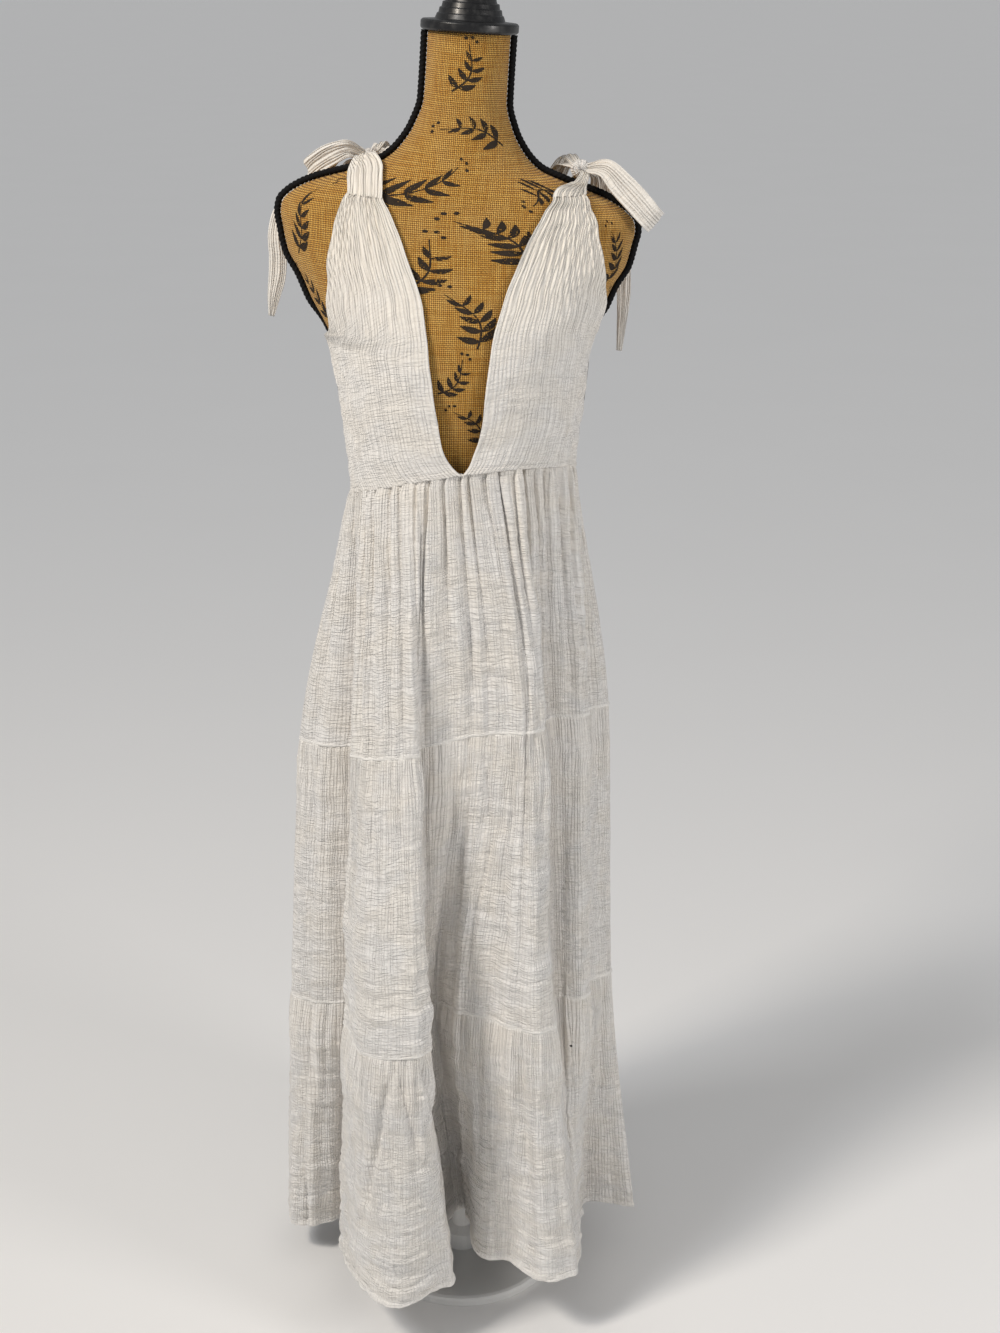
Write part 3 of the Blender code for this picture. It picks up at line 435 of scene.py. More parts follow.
class Skirt:
    """The skirt's cloth: places round it, 0 to 1 from the left side by the front, and levels,
    0 at the waist, 1 and 2 at the seams between tiers and 3 at the hem."""

    def __init__(self):
        angles = np.radians([row.waist for row in FOLDS])
        waist = oval(angles, 0.0, WAIST_SIDE, WAIST_FRONT, WAIST_BACK, 0.0)[:, None, :2]
        lower = np.array([row[2:] for row in FOLDS]).reshape(-1, 3, 2) * MM
        rings = np.concatenate([waist, lower], axis=1)
        after, before = np.roll(rings, -1, axis=0), np.roll(rings, 1, axis=0)
        spans = np.linalg.norm(after - rings, axis=-1)[:, 1:].sum(axis=1)
        self.places = np.concatenate([[0.0], np.cumsum(spans) / spans.sum()])
        spans = np.diff(self.places)
        slopes = (after - before) / (spans + np.roll(spans, 1))[:, None, None]
        self.rings, self.slopes = (np.concatenate([grid, grid[:1]]) for grid in (rings, slopes))
        self.place_of_waist = Curve([row.waist for row in FOLDS] + [FOLDS[0].waist + 360], self.places)
        self.right_side = self.places[[row.name for row in FOLDS].index("right_side")]

    def plan(self, places, levels):
        rings = along_curve(self.places, self.rings, self.slopes, np.asarray(places) % 1.0)
        return Curve(range(4), np.moveaxis(rings, 1, 0))(levels)

    def grid(self, places, levels, out, aside=0.0):
        """Points of the cloth, moved out and aside by depths that are given for the whole grid."""
        middle = self.plan(places, levels)
        run = unit(self.plan(places + 0.002, levels) - self.plan(places - 0.002, levels))
        outward = np.stack([run[..., 1], -run[..., 0]], axis=-1)
        moved = middle + outward * out[..., None] + run * np.broadcast_to(aside, out.shape)[..., None]
        angle = plan_angle(middle)
        seams = np.stack([seam_height(seam, angle) for seam in (WAIST_SEAM, SEAM_1, SEAM_2, HEM)])
        upper = np.clip(np.floor(levels).astype(int), 0, 2)
        rows = np.arange(len(levels))
        height = mix(seams[upper, rows], seams[upper + 1, rows], (levels - upper)[:, None])
        return np.concatenate([moved, height[..., None]], axis=-1)


# Detail of the cloth
CRINKLE = 0.74 * MM
# A cloth's edge turned in: how far its last columns lie behind the face.
TURNED_EDGE = np.array((2.0, 1.1, 0.35)) * MM
# A narrow hem: its roll, its row of stitches, and how far its cloth is doubled.
HEM_ROLL = 3.2 * MM
HEM_STITCHES = 4.6 * MM
HEM_DOUBLED = 3.4 * MM
# Where on the bolt each piece is cut, in metres, so that no two share their crinkles.
TIER_BACK_CUT_AT = 1.0
PANEL_CUT_AT = 3.0
BACK_CUT_AT = 5.0

# Knife pleats at the waist: where each folded edge stands, in degrees from the front.
FRONT_PLEATS = (-86, -77, -66, -53, -48, -37, -31.5, -23, -15.5, -9, -0.5, 3.5, 11.5, 18.5, 26,
                32.5, 40, 47, 58, 65.5, 76, 86)
BACK_PLEATS = tuple(range(97, 267, 10))
PLEAT_PROFILE = Curve((0, 0.07, 0.17, 0.4, 0.7, 0.9, 1), (-1, 0.3, 1, 0.75, 0.1, -0.7, -1))
PLEAT_DEPTH = 4.6 * MM
PLEAT_LEAN = 2.4 * MM
PLEAT_REACHES = (0.15, 0.36)
PLEAT_BOLDNESS = (0.75, 1.2)


def turned_edges(count):
    """Shares across a cloth with its two edges turned in, and how far behind the face each lies."""
    shares = np.linspace(0, 1, count)
    behind = np.concatenate([TURNED_EDGE, np.zeros(count), TURNED_EDGE[::-1]])
    return np.concatenate([shares[:1]] * 3 + [shares] + [shares[-1:]] * 3), behind


def rolled_hem(distance):
    """A narrow hem's height over the cloth at a distance from the edge, with its row of stitches."""
    return (0.55 * fall(distance, HEM_ROLL, 1.2 * MM) - 0.35 * hump(distance, HEM_STITCHES, 0.8 * MM)) * MM


def pleats(skirt, places, drop):
    """How far out and aside the knife pleats carry the cloth, at each place and distance under the waist."""
    edges = skirt.place_of_waist(FRONT_PLEATS + BACK_PLEATS)
    count = len(edges)
    edges = np.concatenate([edges[-1:] - 1.0, edges, edges[:1] + 1.0])
    phase = np.interp(places, edges, np.arange(len(edges)) - 1.0)
    phase = phase + 0.22 * noise(phase * 0.9, drop / 0.12, 31) * ease(drop / 0.08)
    number = np.floor(phase).astype(int)
    share = phase - number
    reach = np.random.default_rng(7).uniform(*PLEAT_REACHES, 60)[number % count]
    boldness = np.random.default_rng(8).uniform(*PLEAT_BOLDNESS, 60)[number % count]
    fading = fall(drop, 0, reach)
    soft = -0.62 * np.cos(TURN * share) * (1 - 0.35 * ease(drop / 0.33))
    stitched = mix(0.55, 1.0, ease(drop / 0.012))
    out = PLEAT_DEPTH * boldness * stitched * mix(soft, PLEAT_PROFILE(share), fading)
    return out, -PLEAT_LEAN * fading * hump(share, 0.15, 0.12) * ease(drop / 0.01)


# Edges of the skirt's large folds: which fold, the side its cloth drops to, and how far, in millimetres,
# at the waist, at the two seams between tiers and at the hem.
FOLD_EDGES = table("name to_right shift waist seam_1 seam_2 hem width", (
    ("left_panel", False, 0.0, 0.5, 2.0, 3.0, 3.0, 6),
    ("left_panel", True, 0.022, 0.5, 2.5, 4.0, 4.0, 8),
    ("fold_1_start", False, 0.0, 2.5, 5.5, 5.5, 5.0, 6.5),
    ("fold_1_edge", True, -0.006, 4.0, 9.5, 10.0, 9.0, 6),
    ("recess", True, -0.006, 2.0, 2.5, 3.5, 2.5, 7),
    ("recess_right", False, 0.0, 0.5, 4.0, 5.0, 7.0, 6),
    ("fold_2_middle", True, 0.0, 3.0, 3.0, 2.0, 2.0, 6),
    ("fold_2_right", True, 0.0, 4.5, 7.5, 8.5, 8.5, 6),
    ("fold_3", False, 0.0, 1.0, 2.5, 3.0, 4.0, 7),
    ("fold_3_crest", True, 0.018, 2.0, 6.0, 6.5, 6.5, 6),
    ("right_back_crest", True, 0.0, 1.0, 3.5, 6.0, 6.5, 7),
    ("back_crest_1", True, 0.0, 1.0, 4.5, 6.5, 7.0, 7),
    ("back_crest_2", False, 0.0, 1.0, 4.0, 6.0, 7.0, 7),
    ("back_crest_2", True, 0.02, 0.5, 2.0, 3.0, 4.0, 8),
    ("back_crest_3", False, 0.0, 1.0, 4.5, 6.5, 7.5, 7),
    ("left_back_crest", False, 0.0, 1.0, 3.5, 5.0, 6.0, 7),
))


# Creases of the skirt: place round it and level at both ends, depth and width in millimetres.
SKIRT_CREASES = table("place_1 level_1 place_2 level_2 depth width", (
    (0.272, 1.03, 0.282, 1.42, 3.0, 4.5), (0.306, 1.10, 0.319, 1.36, 2.6, 4.5),
    (0.320, 1.30, 0.309, 1.92, 3.0, 5.5), (0.331, 1.30, 0.350, 1.97, 2.6, 5.0),
    (0.015, 1.02, 0.032, 1.60, 2.4, 5.0), (0.172, 2.03, 0.146, 2.80, 5.0, 6.0),
    (0.176, 2.02, 0.196, 2.50, 3.8, 5.0), (0.194, 2.00, 0.216, 2.42, 4.0, 5.0),
    (0.0245, 2.02, 0.026, 2.50, 2.8, 5.0), (0.330, 2.03, 0.322, 2.70, 2.6, 5.5),
    (0.356, 2.02, 0.366, 2.85, 3.0, 6.0), (0.430, 2.03, 0.436, 2.60, 2.6, 5.5),
    (0.500, 2.03, 0.496, 2.70, 2.6, 5.5), (0.170, 0.30, 0.166, 0.95, 2.2, 5.0),
    (0.150, 1.04, 0.156, 1.55, 2.2, 5.0), (0.186, 1.02, 0.182, 1.40, 2.0, 4.5),
    (0.340, 0.10, 0.366, 0.72, 2.6, 5.0), (0.300, 0.20, 0.288, 0.90, 2.4, 5.0),
    (0.235, 1.05, 0.250, 1.80, 2.2, 5.5), (0.600, 1.03, 0.610, 1.60, 2.6, 5.5),
    (0.700, 1.03, 0.690, 1.70, 2.8, 5.5), (0.820, 1.05, 0.835, 1.60, 2.6, 5.5),
    (0.930, 1.04, 0.920, 1.70, 2.6, 5.5), (0.580, 2.03, 0.570, 2.60, 3.0, 6.0),
    (0.660, 2.02, 0.672, 2.70, 3.0, 6.0), (0.770, 2.03, 0.762, 2.80, 3.2, 6.0),
    (0.880, 2.03, 0.890, 2.60, 3.0, 6.0), (0.960, 2.03, 0.966, 2.60, 3.0, 6.0),
    (0.640, 0.15, 0.650, 0.90, 2.4, 5.0), (0.760, 0.20, 0.750, 0.95, 2.4, 5.0),
    (0.870, 0.15, 0.880, 0.90, 2.4, 5.0),
))


def fold_edges(skirt, places, levels):
    """How far out and aside the large folds' own edges carry the cloth, and how far out its creases do."""
    rings = skirt.plan(np.linspace(0, 1, 400), levels)
    girth = np.linalg.norm(np.diff(rings, axis=1), axis=-1).sum(axis=1)[:, None]
    levels = levels[:, None]
    out = np.zeros((len(levels), len(places)))
    aside = np.zeros_like(out)
    names = [row.name for row in FOLDS]
    for number, edge in enumerate(FOLD_EDGES):
        side = 1 if edge.to_right else -1
        middle = skirt.places[names.index(edge.name)] + edge.shift
        depth = Curve(range(4), (edge.waist, edge.seam_1, edge.seam_2, edge.hem))(levels) * MM
        sway = 9 * MM * noise(levels * 2.7, 0.5, 50 + number)
        beyond = (side * (places - middle) * girth + sway) / (edge.width * MM)
        depth = depth * (1.0 + 0.7 * noise(levels * 3.9, 0.5, 110 + number))
        ridge = 0.62 * hump(beyond, -1.2, 1.2)
        valley = 0.7 * hump(beyond, 0.9, 0.8) + 0.12 * hump(beyond, 3, 2.4)
        out += depth * (ridge - valley)
        aside += side * depth * 0.7 * hump(beyond, -0.1, 0.6)
    for number, crease in enumerate(SKIRT_CREASES):
        share = (levels - crease.level_1) / (crease.level_2 - crease.level_1)
        middle = mix(crease.place_1, crease.place_2, share)
        sway = 4 * MM * noise(levels * 6, 0.5, 80 + number)
        beyond = ((places - middle) * girth + sway) / (crease.width * MM)
        inside = ease(share / 0.15) * ease((1 - share) / 0.45)
        relief = 0.45 * hump(np.abs(beyond), 1.9, 1.1) - hump(beyond, 0, 0.8)
        out += crease.depth * MM * inside * relief
    return out, aside


def gathers(s, drop, seed):
    """Fine gathers that hang from a seam between tiers."""
    reach = 0.6 + 0.4 * noise(s / 0.02, drop / 0.5, seed + 9)
    wander = 2.5 * MM * noise(s / 0.03, drop / 0.07, seed + 8)
    fine = puffed(noise((s + wander) / (6 * MM), drop / 0.10, seed))
    broad = puffed(noise((s + wander) / (13 * MM), drop / 0.16, seed + 1))
    fine_depth = 3.0 * mix(1.0, 0.15, ease(drop / 0.10)) * reach
    return (fine_depth * fine + 1.9 * mix(1.0, 0.5, ease(drop / 0.2)) * broad) * MM


def painted_fold_shade(skirt, places, levels):
    """How much painted shade darkens each place of the cloth: how deep between its neighbouring folds it
    lies, from 0 on a crest to 1.
    """
    around = np.arange(400) / 400
    rings = skirt.plan(around, levels)[..., :2]
    middle = rings
    for _ in range(2):
        middle = sum(np.roll(middle, step, axis=1) for step in range(-12, 13)) / 25
    run = np.roll(middle, -1, axis=1) - np.roll(middle, 1, axis=1)
    outward = unit(np.stack([run[..., 1], -run[..., 0]], axis=-1))
    outward *= np.sign((outward * middle).sum(axis=-1).mean())
    depth = ease(-((rings - middle) * outward).sum(axis=-1) / (0.006 + 0.005 * levels[:, None]))
    return np.stack([np.interp(places, around, row, period=1) for row in depth])


TIERS = table("number columns_front columns_back rows length up across cut_front cut_back", (
    (1, 370, 190, 175, 0.33, 1.0, 0.6, 0.56, 0.50),
    (2, 440, 240, 175, 0.36, 0.8, 0.95, 0.78, 0.74),
    (3, 470, 260, 165, 0.35, 0.7, 1.05, 1.00, 0.96),
))


# Rows of points close together at a tier's top seam and at its turned lower edge.
TIER_TOP = (0, 0.003, 0.006, 0.009)
TIER_BOTTOM = (0.975, 0.98, 0.984, 0.988, 0.992, 0.995, 0.998, 1.0, 1.0, 1.0)
TIER_HEM = 7.5 * MM
TIER_HEM_STITCHES = 8.8 * MM
# How far a tier springs out under its gathers, billows, hangs slack and puffs up between its creases.
TIER_SPRING = 2.2 * MM
TIER_BILLOW = 3.2 * MM
TIER_SLACK = 1.3
TIER_PUFF = 1.1
SIDE_SEAM_SETTLES = 12 * MM


def add_tier(skirt, tier, back, look):
    """Half of a tier, from the seam above it to the seam or hem below."""
    start, end = (skirt.right_side, 1.0) if back else (0.0, skirt.right_side)
    places = np.linspace(start, end, (tier.columns_back if back else tier.columns_front) + 1)
    shares = np.linspace(0, 1, (tier.rows * 2 // 3 if back else tier.rows) + 1)
    shares = np.concatenate([TIER_TOP, shares[2:-6], TIER_BOTTOM])
    levels = tier.number - 1 + shares
    shares = shares[:, None]
    drop, left = shares * tier.length, tier.length * (1 - shares)
    s = lengths_along(skirt.plan(places, tier.number - 0.5), 0) + (TIER_BACK_CUT_AT if back else 0.0)
    seed = 100 * tier.number
    out = crinkle(s, drop, tier.up, tier.across * ease(0.4 + drop / 0.1), seed)
    folds, aside = fold_edges(skirt, places, levels)
    heavy = ease(drop / 0.06) * mix(1.0, 1.0 + 0.4 * tier.number, shares) * MM
    if tier.number == 1:
        pleat, leant = pleats(skirt, places, drop)
        out, aside, heavy = out + pleat, aside + leant, heavy * 0.55
    else:
        out += gathers(s, drop, seed + 20) * mix(0.35, 1.0, ease(drop / (8 * MM)))
        out += TIER_SPRING * np.sin(math.pi * np.clip(shares / 0.3, 0, 1))
        out += TIER_BILLOW * noise(s / 0.045, drop / 0.22, seed + 30) * ease(drop / 0.05)
    out += TIER_SLACK * heavy * noise(s / 0.05, drop / 0.022, seed + 40)
    drag = 6 * MM * noise(s / 0.03, drop / 0.05, seed + 43)
    out += TIER_PUFF * heavy * puffed(noise(s / 0.055, (drop + drag) / 0.0105, seed + 41))
    if tier.number < 3:
        out = out * mix(0.3, 1.0, ease(left / 0.02))
        edge = 1.4 * hump(left, 1.6 * MM, 1.6 * MM) - 0.5 * hump(left, 5.2 * MM, 1.2 * MM)
        doubled = hump(left, 1.4 * MM, 2.2 * MM)
    else:
        edge = 0.6 * fall(left, TIER_HEM, 1.5 * MM) - 0.9 * hump(left, TIER_HEM_STITCHES, 1.1 * MM)
        doubled = 0.5 * fall(left, TIER_HEM, MM) + 0.3 * hump(left, 0, 2 * MM)
    if tier.number > 1:
        doubled = doubled + 0.8 * hump(drop, 0, 1.6 * MM)
    from_end = np.minimum(s - s[0], s[-1] - s)
    settled = ease(from_end / SIDE_SEAM_SETTLES)
    out = (out + folds) * settled - 0.5 * MM * hump(from_end, 0, 1.2 * MM)
    edge = edge - 0.5 * fall(drop, 0, 1.5 * MM)
    edge[-3:, 0] -= (0.2, 0.6, 1.3)
    points = skirt.grid(places, levels, out + edge * MM, aside * settled)
    points[-2:, :, 2] += np.array([[0.4], [3.0]]) * MM
    points[0, :, 2] += 1.5 * MM
    # How far the cloth is pulled up under the seam; this share also tints it cream, partly as painted warm
    # light.
    drawn_and_warm_light = 0.55 * (1 - ease(drop / 0.16 + 0.35 * noise(s / 0.02, drop / 0.2, seed + 50)))
    # Painted shade between the folds: the channel of cloth lying double goes below 0 by how deep the place
    # lies, which darkens its colour.
    piece = add_sheet("tier_{}_{}".format(tier.number, "back" if back else "front"), "cloth", points, s,
                      drop + tier.number, look, flip=True,
                      doubled=doubled - painted_fold_shade(skirt, places, levels), drawn_and_warm_light=drawn_and_warm_light)


def panel_grid(sign, rows, columns, count):
    """A front panel's ring angles and heights."""
    side = [row.height for row in rows]
    reach = FORM_SIDE(side) + GAP_SIDE(side)
    starts = [math.asin(row.v_edge / r) for row, r in zip(rows, reach)]
    ends = [math.pi / 2 if row.arm_edge is None else math.asin(min(row.arm_edge / r, 1.0))
            for row, r in zip(rows, reach)]
    heights = np.linspace(side[0], side[-1], count)[:, None]
    angle = sign * mix(Curve(side, starts)(heights), Curve(side, ends)(heights), columns)
    low, run = WAIST_SEAM.side, BACK_TOP_SIDE - WAIST_SEAM.side
    drop = waist_height(angle) - waist_height(np.zeros(1))
    return angle, heights + fall(heights, low, run) / fall(side[0], low, run) * drop


# Creases of the bodice: ring angle in degrees and height at both ends, depth and width in millimetres.
CREASES_LEFT = table("angle_1 height_1 angle_2 height_2 depth width", (
    (-84, 1.190, -60, 1.098, 1.1, 4.0), (-80, 1.215, -66, 1.130, 0.9, 3.0),
    (-86, 1.155, -68, 1.082, 1.3, 4.0), (-74, 1.222, -58, 1.175, 0.7, 3.5),
    (-88, 1.130, -76, 1.072, 1.2, 3.5), (-80, 1.232, -46, 1.232, 0.6, 4.0),
    (-66, 1.200, -48, 1.120, 0.5, 5.0), (-86, 1.208, -77, 1.170, 1.1, 2.6),
))
CREASES_RIGHT = table("angle_1 height_1 angle_2 height_2 depth width", (
    (52, 1.098, 60, 1.150, 1.3, 1.1), (66, 1.180, 78, 1.150, 1.8, 3.6),
    (62, 1.205, 86, 1.165, 1.2, 3.0), (64, 1.160, 84, 1.128, 1.2, 3.4),
    (60, 1.138, 80, 1.100, 1.0, 3.0), (70, 1.120, 86, 1.085, 1.0, 3.2),
    (58, 1.225, 80, 1.200, 0.8, 3.4), (20, 1.168, 36, 1.172, 0.7, 2.2),
    (16, 1.186, 34, 1.178, 0.5, 2.0),
))


# The bodice's mean radius, for distances round it.
BODICE_RADIUS = 0.13


def creased(angle, height, creases):
    """Valleys along slightly bowed lines over the bodice, each with a low ridge beside it."""
    x = angle * BODICE_RADIUS
    out = np.zeros_like(x)
    for row in creases:
        start = np.array((math.radians(row.angle_1) * BODICE_RADIUS, row.height_1))
        run = np.array((math.radians(row.angle_2) * BODICE_RADIUS, row.height_2)) - start
        length = math.hypot(*run)
        run /= length
        share = ((x - start[0]) * run[0] + (height - start[1]) * run[1]) / length
        off = (height - start[1]) * run[0] - (x - start[0]) * run[1] + 0.216 * length * share * (1 - share)
        inside = ease(share / 0.25) * ease((1 - share) / 0.25)
        width = row.width * MM
        relief = 0.6 * hump(off, 1.6 * width, width) - hump(off, 0, width)
        out += 1.7 * row.depth * MM * inside * relief
    return out


PANEL_RIBS = 15.5
PANEL_FINE_RIBS = 34
PANEL_RIBS_START = 1.19
PANEL_RIBS_FULL = 1.345


def add_front_panel(side, sign, rows, creases, look):
    """A front panel: gathered under its strap, crinkled and creased over the ribs, hems at both edges."""
    columns, behind = turned_edges(112)
    angle, height = panel_grid(sign, rows, columns, 190)
    base = bodice_point(angle, height)
    across, along = over_cloth(base)
    width = across[:, -1:]
    seed = 500 if sign < 0 else 600
    depth = ease((height - PANEL_RIBS_START) / (PANEL_RIBS_FULL - PANEL_RIBS_START))
    meander = 0.16 * noise(columns * 5, height / 0.07, seed)
    meander += 0.06 * noise(columns * 11, height / 0.03, seed + 1)
    bold = 0.75 + 0.5 * noise(columns * PANEL_RIBS, height / 0.09, seed + 2)
    fine = noise(columns * PANEL_FINE_RIBS + meander, height / 0.05, seed + 3)
    out = depth * (1.05 * pleated(PANEL_RIBS * columns + meander) * bold + 0.4 * fine) * MM
    out += crinkle(across + PANEL_CUT_AT, along, 0.45 + 0.4 * depth, 0.6 * (1 - depth), seed + 10)
    out += 1.2 * MM * noise(across / 0.03, along / 0.016, seed + 30) * (1 - depth)
    out += creased(angle, height, creases) + rolled_hem(across)
    out += ease((height - 1.228) / 0.02) * rolled_hem(width - across)
    waist = height - height[:1]
    out += 0.5 * MM * (fall(waist, 3.5 * MM, 2 * MM) - hump(waist, 6 * MM, MM))
    out += 0.6 * MM - behind
    bottom = bodice_point(angle[:1], height[:1] - 0.4 * MM, out[:1] - 1.9 * MM)
    points = lean(np.concatenate([bottom, bodice_point(angle, height, out)]))
    across, along, depth = (np.concatenate([grid[:1], grid]) for grid in (across, along, depth))
    doubled = 0.55 * fall(across, HEM_DOUBLED, MM) + 0.45 * fall(width[:1] - across, HEM_DOUBLED, MM)
    cloth_across = mix(columns * 0.11, across, 0.5) + PANEL_CUT_AT
    piece = add_sheet("bodice_front_" + side, "cloth", points, cloth_across, along, look, flip=sign < 0,
                      doubled=doubled, drawn_and_warm_light=mix(0.4, 1.0, depth))
    return bodice_point(angle[-1], height[-1])


def add_back(look):
    """The back panel, held in by shallow darts over the shoulder blades."""
    angle = np.linspace(math.pi / 2, 3 * math.pi / 2, 190)[None, :]
    shares = np.concatenate([np.linspace(0, 1, 80), [1, 1, 1]])[:, None]
    turned = np.concatenate([[1.9 * MM], np.zeros(79), TURNED_EDGE[::-1]])[:, None]
    top = mix(BACK_TOP_SIDE, BACK_TOP_MIDDLE, -np.cos(angle))
    height = mix(waist_height(angle), top, shares)
    angle = np.broadcast_to(angle, height.shape)
    base = bodice_point(angle, height)
    across, along = over_cloth(base)
    out = crinkle(across + BACK_CUT_AT, along, 0.8, 0.7, 700)
    out += 0.8 * MM * noise(across / 0.03, along / 0.05, 710)
    for dart in (138, 222):
        off = (angle - math.radians(dart)) * 0.12
        out -= MM * hump(off, 0, 1.2 * MM) * fall(shares, 0.55, 0.2)
    left = along[-1:] - along
    out += rolled_hem(left) + 0.6 * MM + 0.5 * MM * fall(along, 3.5 * MM, 2 * MM)
    points = lean(bodice_point(angle, height, out - turned))
    piece = add_sheet("bodice_back", "cloth", points, across + BACK_CUT_AT, along, look,
                      doubled=0.5 * fall(left, HEM_DOUBLED, MM), drawn_and_warm_light=0.3)


def inside_form(points):
    x, y, height = points[..., 0], points[..., 1], points[..., 2]
    rise = y - FORM_BEHIND(height)
    depth = np.where(rise > 0, FORM_BACK(height), FORM_FRONT(height))
    within = (x / FORM_SIDE(height)) ** 2 + (rise / depth) ** 2 < 1.0
    return within & (height > FORM[0].height) & (height < FORM[-1].height)


def shoulder_point(x, turn, lift=0.0):
    """A point over the shoulder: x across, turn in degrees from the front over the top to the back."""
    x, turn = np.broadcast_arrays(np.asarray(x, float), np.asarray(turn, float))
    angle = np.radians(turn)
    centre = stack(x, SHOULDER_Y, SHOULDER_Z)
    direction = stack(0.0, -np.cos(angle), np.sin(angle))
    near, far = np.zeros(x.shape), np.full(x.shape, 0.3)
    for _ in range(15):
        middle = (near + far) / 2
        within = inside_form(centre + direction * middle[..., None])
        near, far = np.where(within, middle, near), np.where(within, far, middle)
    return centre + direction * (near + lift)[..., None]


def shoulder_normal(x, turn):
    inward = shoulder_point(x + 2 * MM, turn) - shoulder_point(x - 2 * MM, turn)
    back = shoulder_point(x, turn + 2) - shoulder_point(x, turn - 2)
    return unit(np.cross(inward, back))


STRAP_RIB = 1.15 * MM
STRAP_CROWN = 1.1 * MM


def add_strap(name, attached, end_x, end_turn, end_lift, narrows, ribs, seed, look, flip):
    """A strap gathered along its length, from the cloth it is sewn to over the shoulder into its knot."""
    columns, behind = turned_edges(42)
    shares = np.linspace(-0.02, 1.03, 76)[:, None]
    places = np.linspace(0, 1, len(attached))
    start = stack(*(np.interp(columns, places, values) for values in attached.T))
    sense = 1 if attached[-1, 0] > attached[0, 0] else -1
    start_turn = np.degrees(np.arctan2(start[:, 2] - SHOULDER_Z, SHOULDER_Y - start[:, 1])) % 360
    start_offset = start - shoulder_point(start[:, 0], start_turn)
    held = np.clip(shares, 0, 1)
    turn = mix(start_turn, end_turn, shares)
    narrowed = ease((held - narrows) / (1 - narrows))
    x = mix(start[:, 0], end_x + sense * (columns - 0.5) * STRAP_AT_KNOT, narrowed)
    lift = STRAP_LIFT + STRAP_OVER_PIPING * hump(turn, 90, 15)
    lift = mix(lift, end_lift, ease((held - 0.75) / 0.25))
    normal = shoulder_normal(x, turn)
    offset = mix(start_offset, normal * lift[..., None], ease(held / 0.25)[..., None])
    points = shoulder_point(x, turn) + offset
    across, along = over_cloth(points)
    from_edge = np.minimum(across, across[:, -1:] - across)
    meander = 0.35 * noise(columns * 4, along / 0.03, seed)
    out = STRAP_RIB * pleated(ribs * columns + meander)
    out += crinkle(across + seed, along, 0.8, 0.25, seed) + 0.5 * MM
    out += STRAP_CROWN * np.sin(math.pi * columns) * ease(held / 0.2)
    out += rolled_hem(across) + rolled_hem(across[:, -1:] - across)
    out += 0.6 * MM * fall(along, 1.5 * MM, 1.5 * MM)
    points = lean(points + normal * (out - behind)[..., None])
    piece = add_sheet(name, "cloth", points, across + seed, along, look, flip=flip,
                      doubled=0.45 * fall(from_edge, HEM_DOUBLED, MM), drawn_and_warm_light=1.0)


def back_strap_start(sign):
    x = BACK_STRAP_X + BACK_STRAP_WIDTH * (np.linspace(0, 1, 9) - 0.5)
    angle = math.pi - np.arcsin(x / (FORM_SIDE(BACK_TOP_MIDDLE) + GAP_SIDE(BACK_TOP_MIDDLE)))
    top = mix(BACK_TOP_SIDE, BACK_TOP_MIDDLE, -np.cos(angle))
    return bodice_point(sign * angle, top - 1.5 * MM, 2.2 * MM)


def knot_centre(shoulder):
    return shoulder_point(shoulder.knot_x, shoulder.knot_turn, shoulder.knot_lift)


def add_knot(shoulder, look):
    """A knot pulled tight: a ball of cloth with its wraps running round it and a broad band over the top."""
    turn, rise = np.meshgrid(np.linspace(0, TURN, 85)[:-1], np.linspace(0.03, math.pi - 0.03, 50))
    direction = stack(np.sin(rise) * np.cos(turn), np.cos(rise), np.sin(rise) * np.sin(turn))
    seed = shoulder.knot_seed
    wander = 0.5 / math.pi * noise(turn * 1.3, rise * 2, seed)
    wraps = pleated(2.6 * (rise + shoulder.knot_tilt * np.cos(turn)) + wander)
    band = 0.06 * hump(np.sin(turn - 1.1), 0, 0.45)
    radius = 0.97 + 0.075 * wraps + 0.035 * noise(turn * 1.5, rise * 11, seed + 1) + band
    points = lean(knot_centre(shoulder) + direction * radius[..., None] * KNOT_SIZE)
    add_sheet("knot_" + shoulder.side, "cloth", points, turn * 0.01 + seed, rise * 0.01, look,
              closed=True, doubled=0.0)


def smooth_line(points, shares, count):
    """A curve through points, and through the values that go with them, by Catmull and Rom's rule."""
    distance = lengths_along(points, 0)
    values = np.concatenate([points, shares], axis=1)
    slopes = np.empty_like(values)
    slopes[1:-1] = (values[2:] - values[:-2]) / (distance[2:] - distance[:-2])[:, None]
    slopes[0] = (values[1] - values[0]) / (distance[1] - distance[0])
    slopes[-1] = (values[-1] - values[-2]) / (distance[-1] - distance[-2])
    place = np.linspace(0, distance[-1], count)
    return along_curve(distance, values, slopes, place), place[:, None]


RIBBON_CROWN = 1.4 * MM
RIBBON_THICK = 1.1 * MM
# How deep in its knot a ribbon begins, as a share of the knot's size.
RIBBON_HELD = 0.82


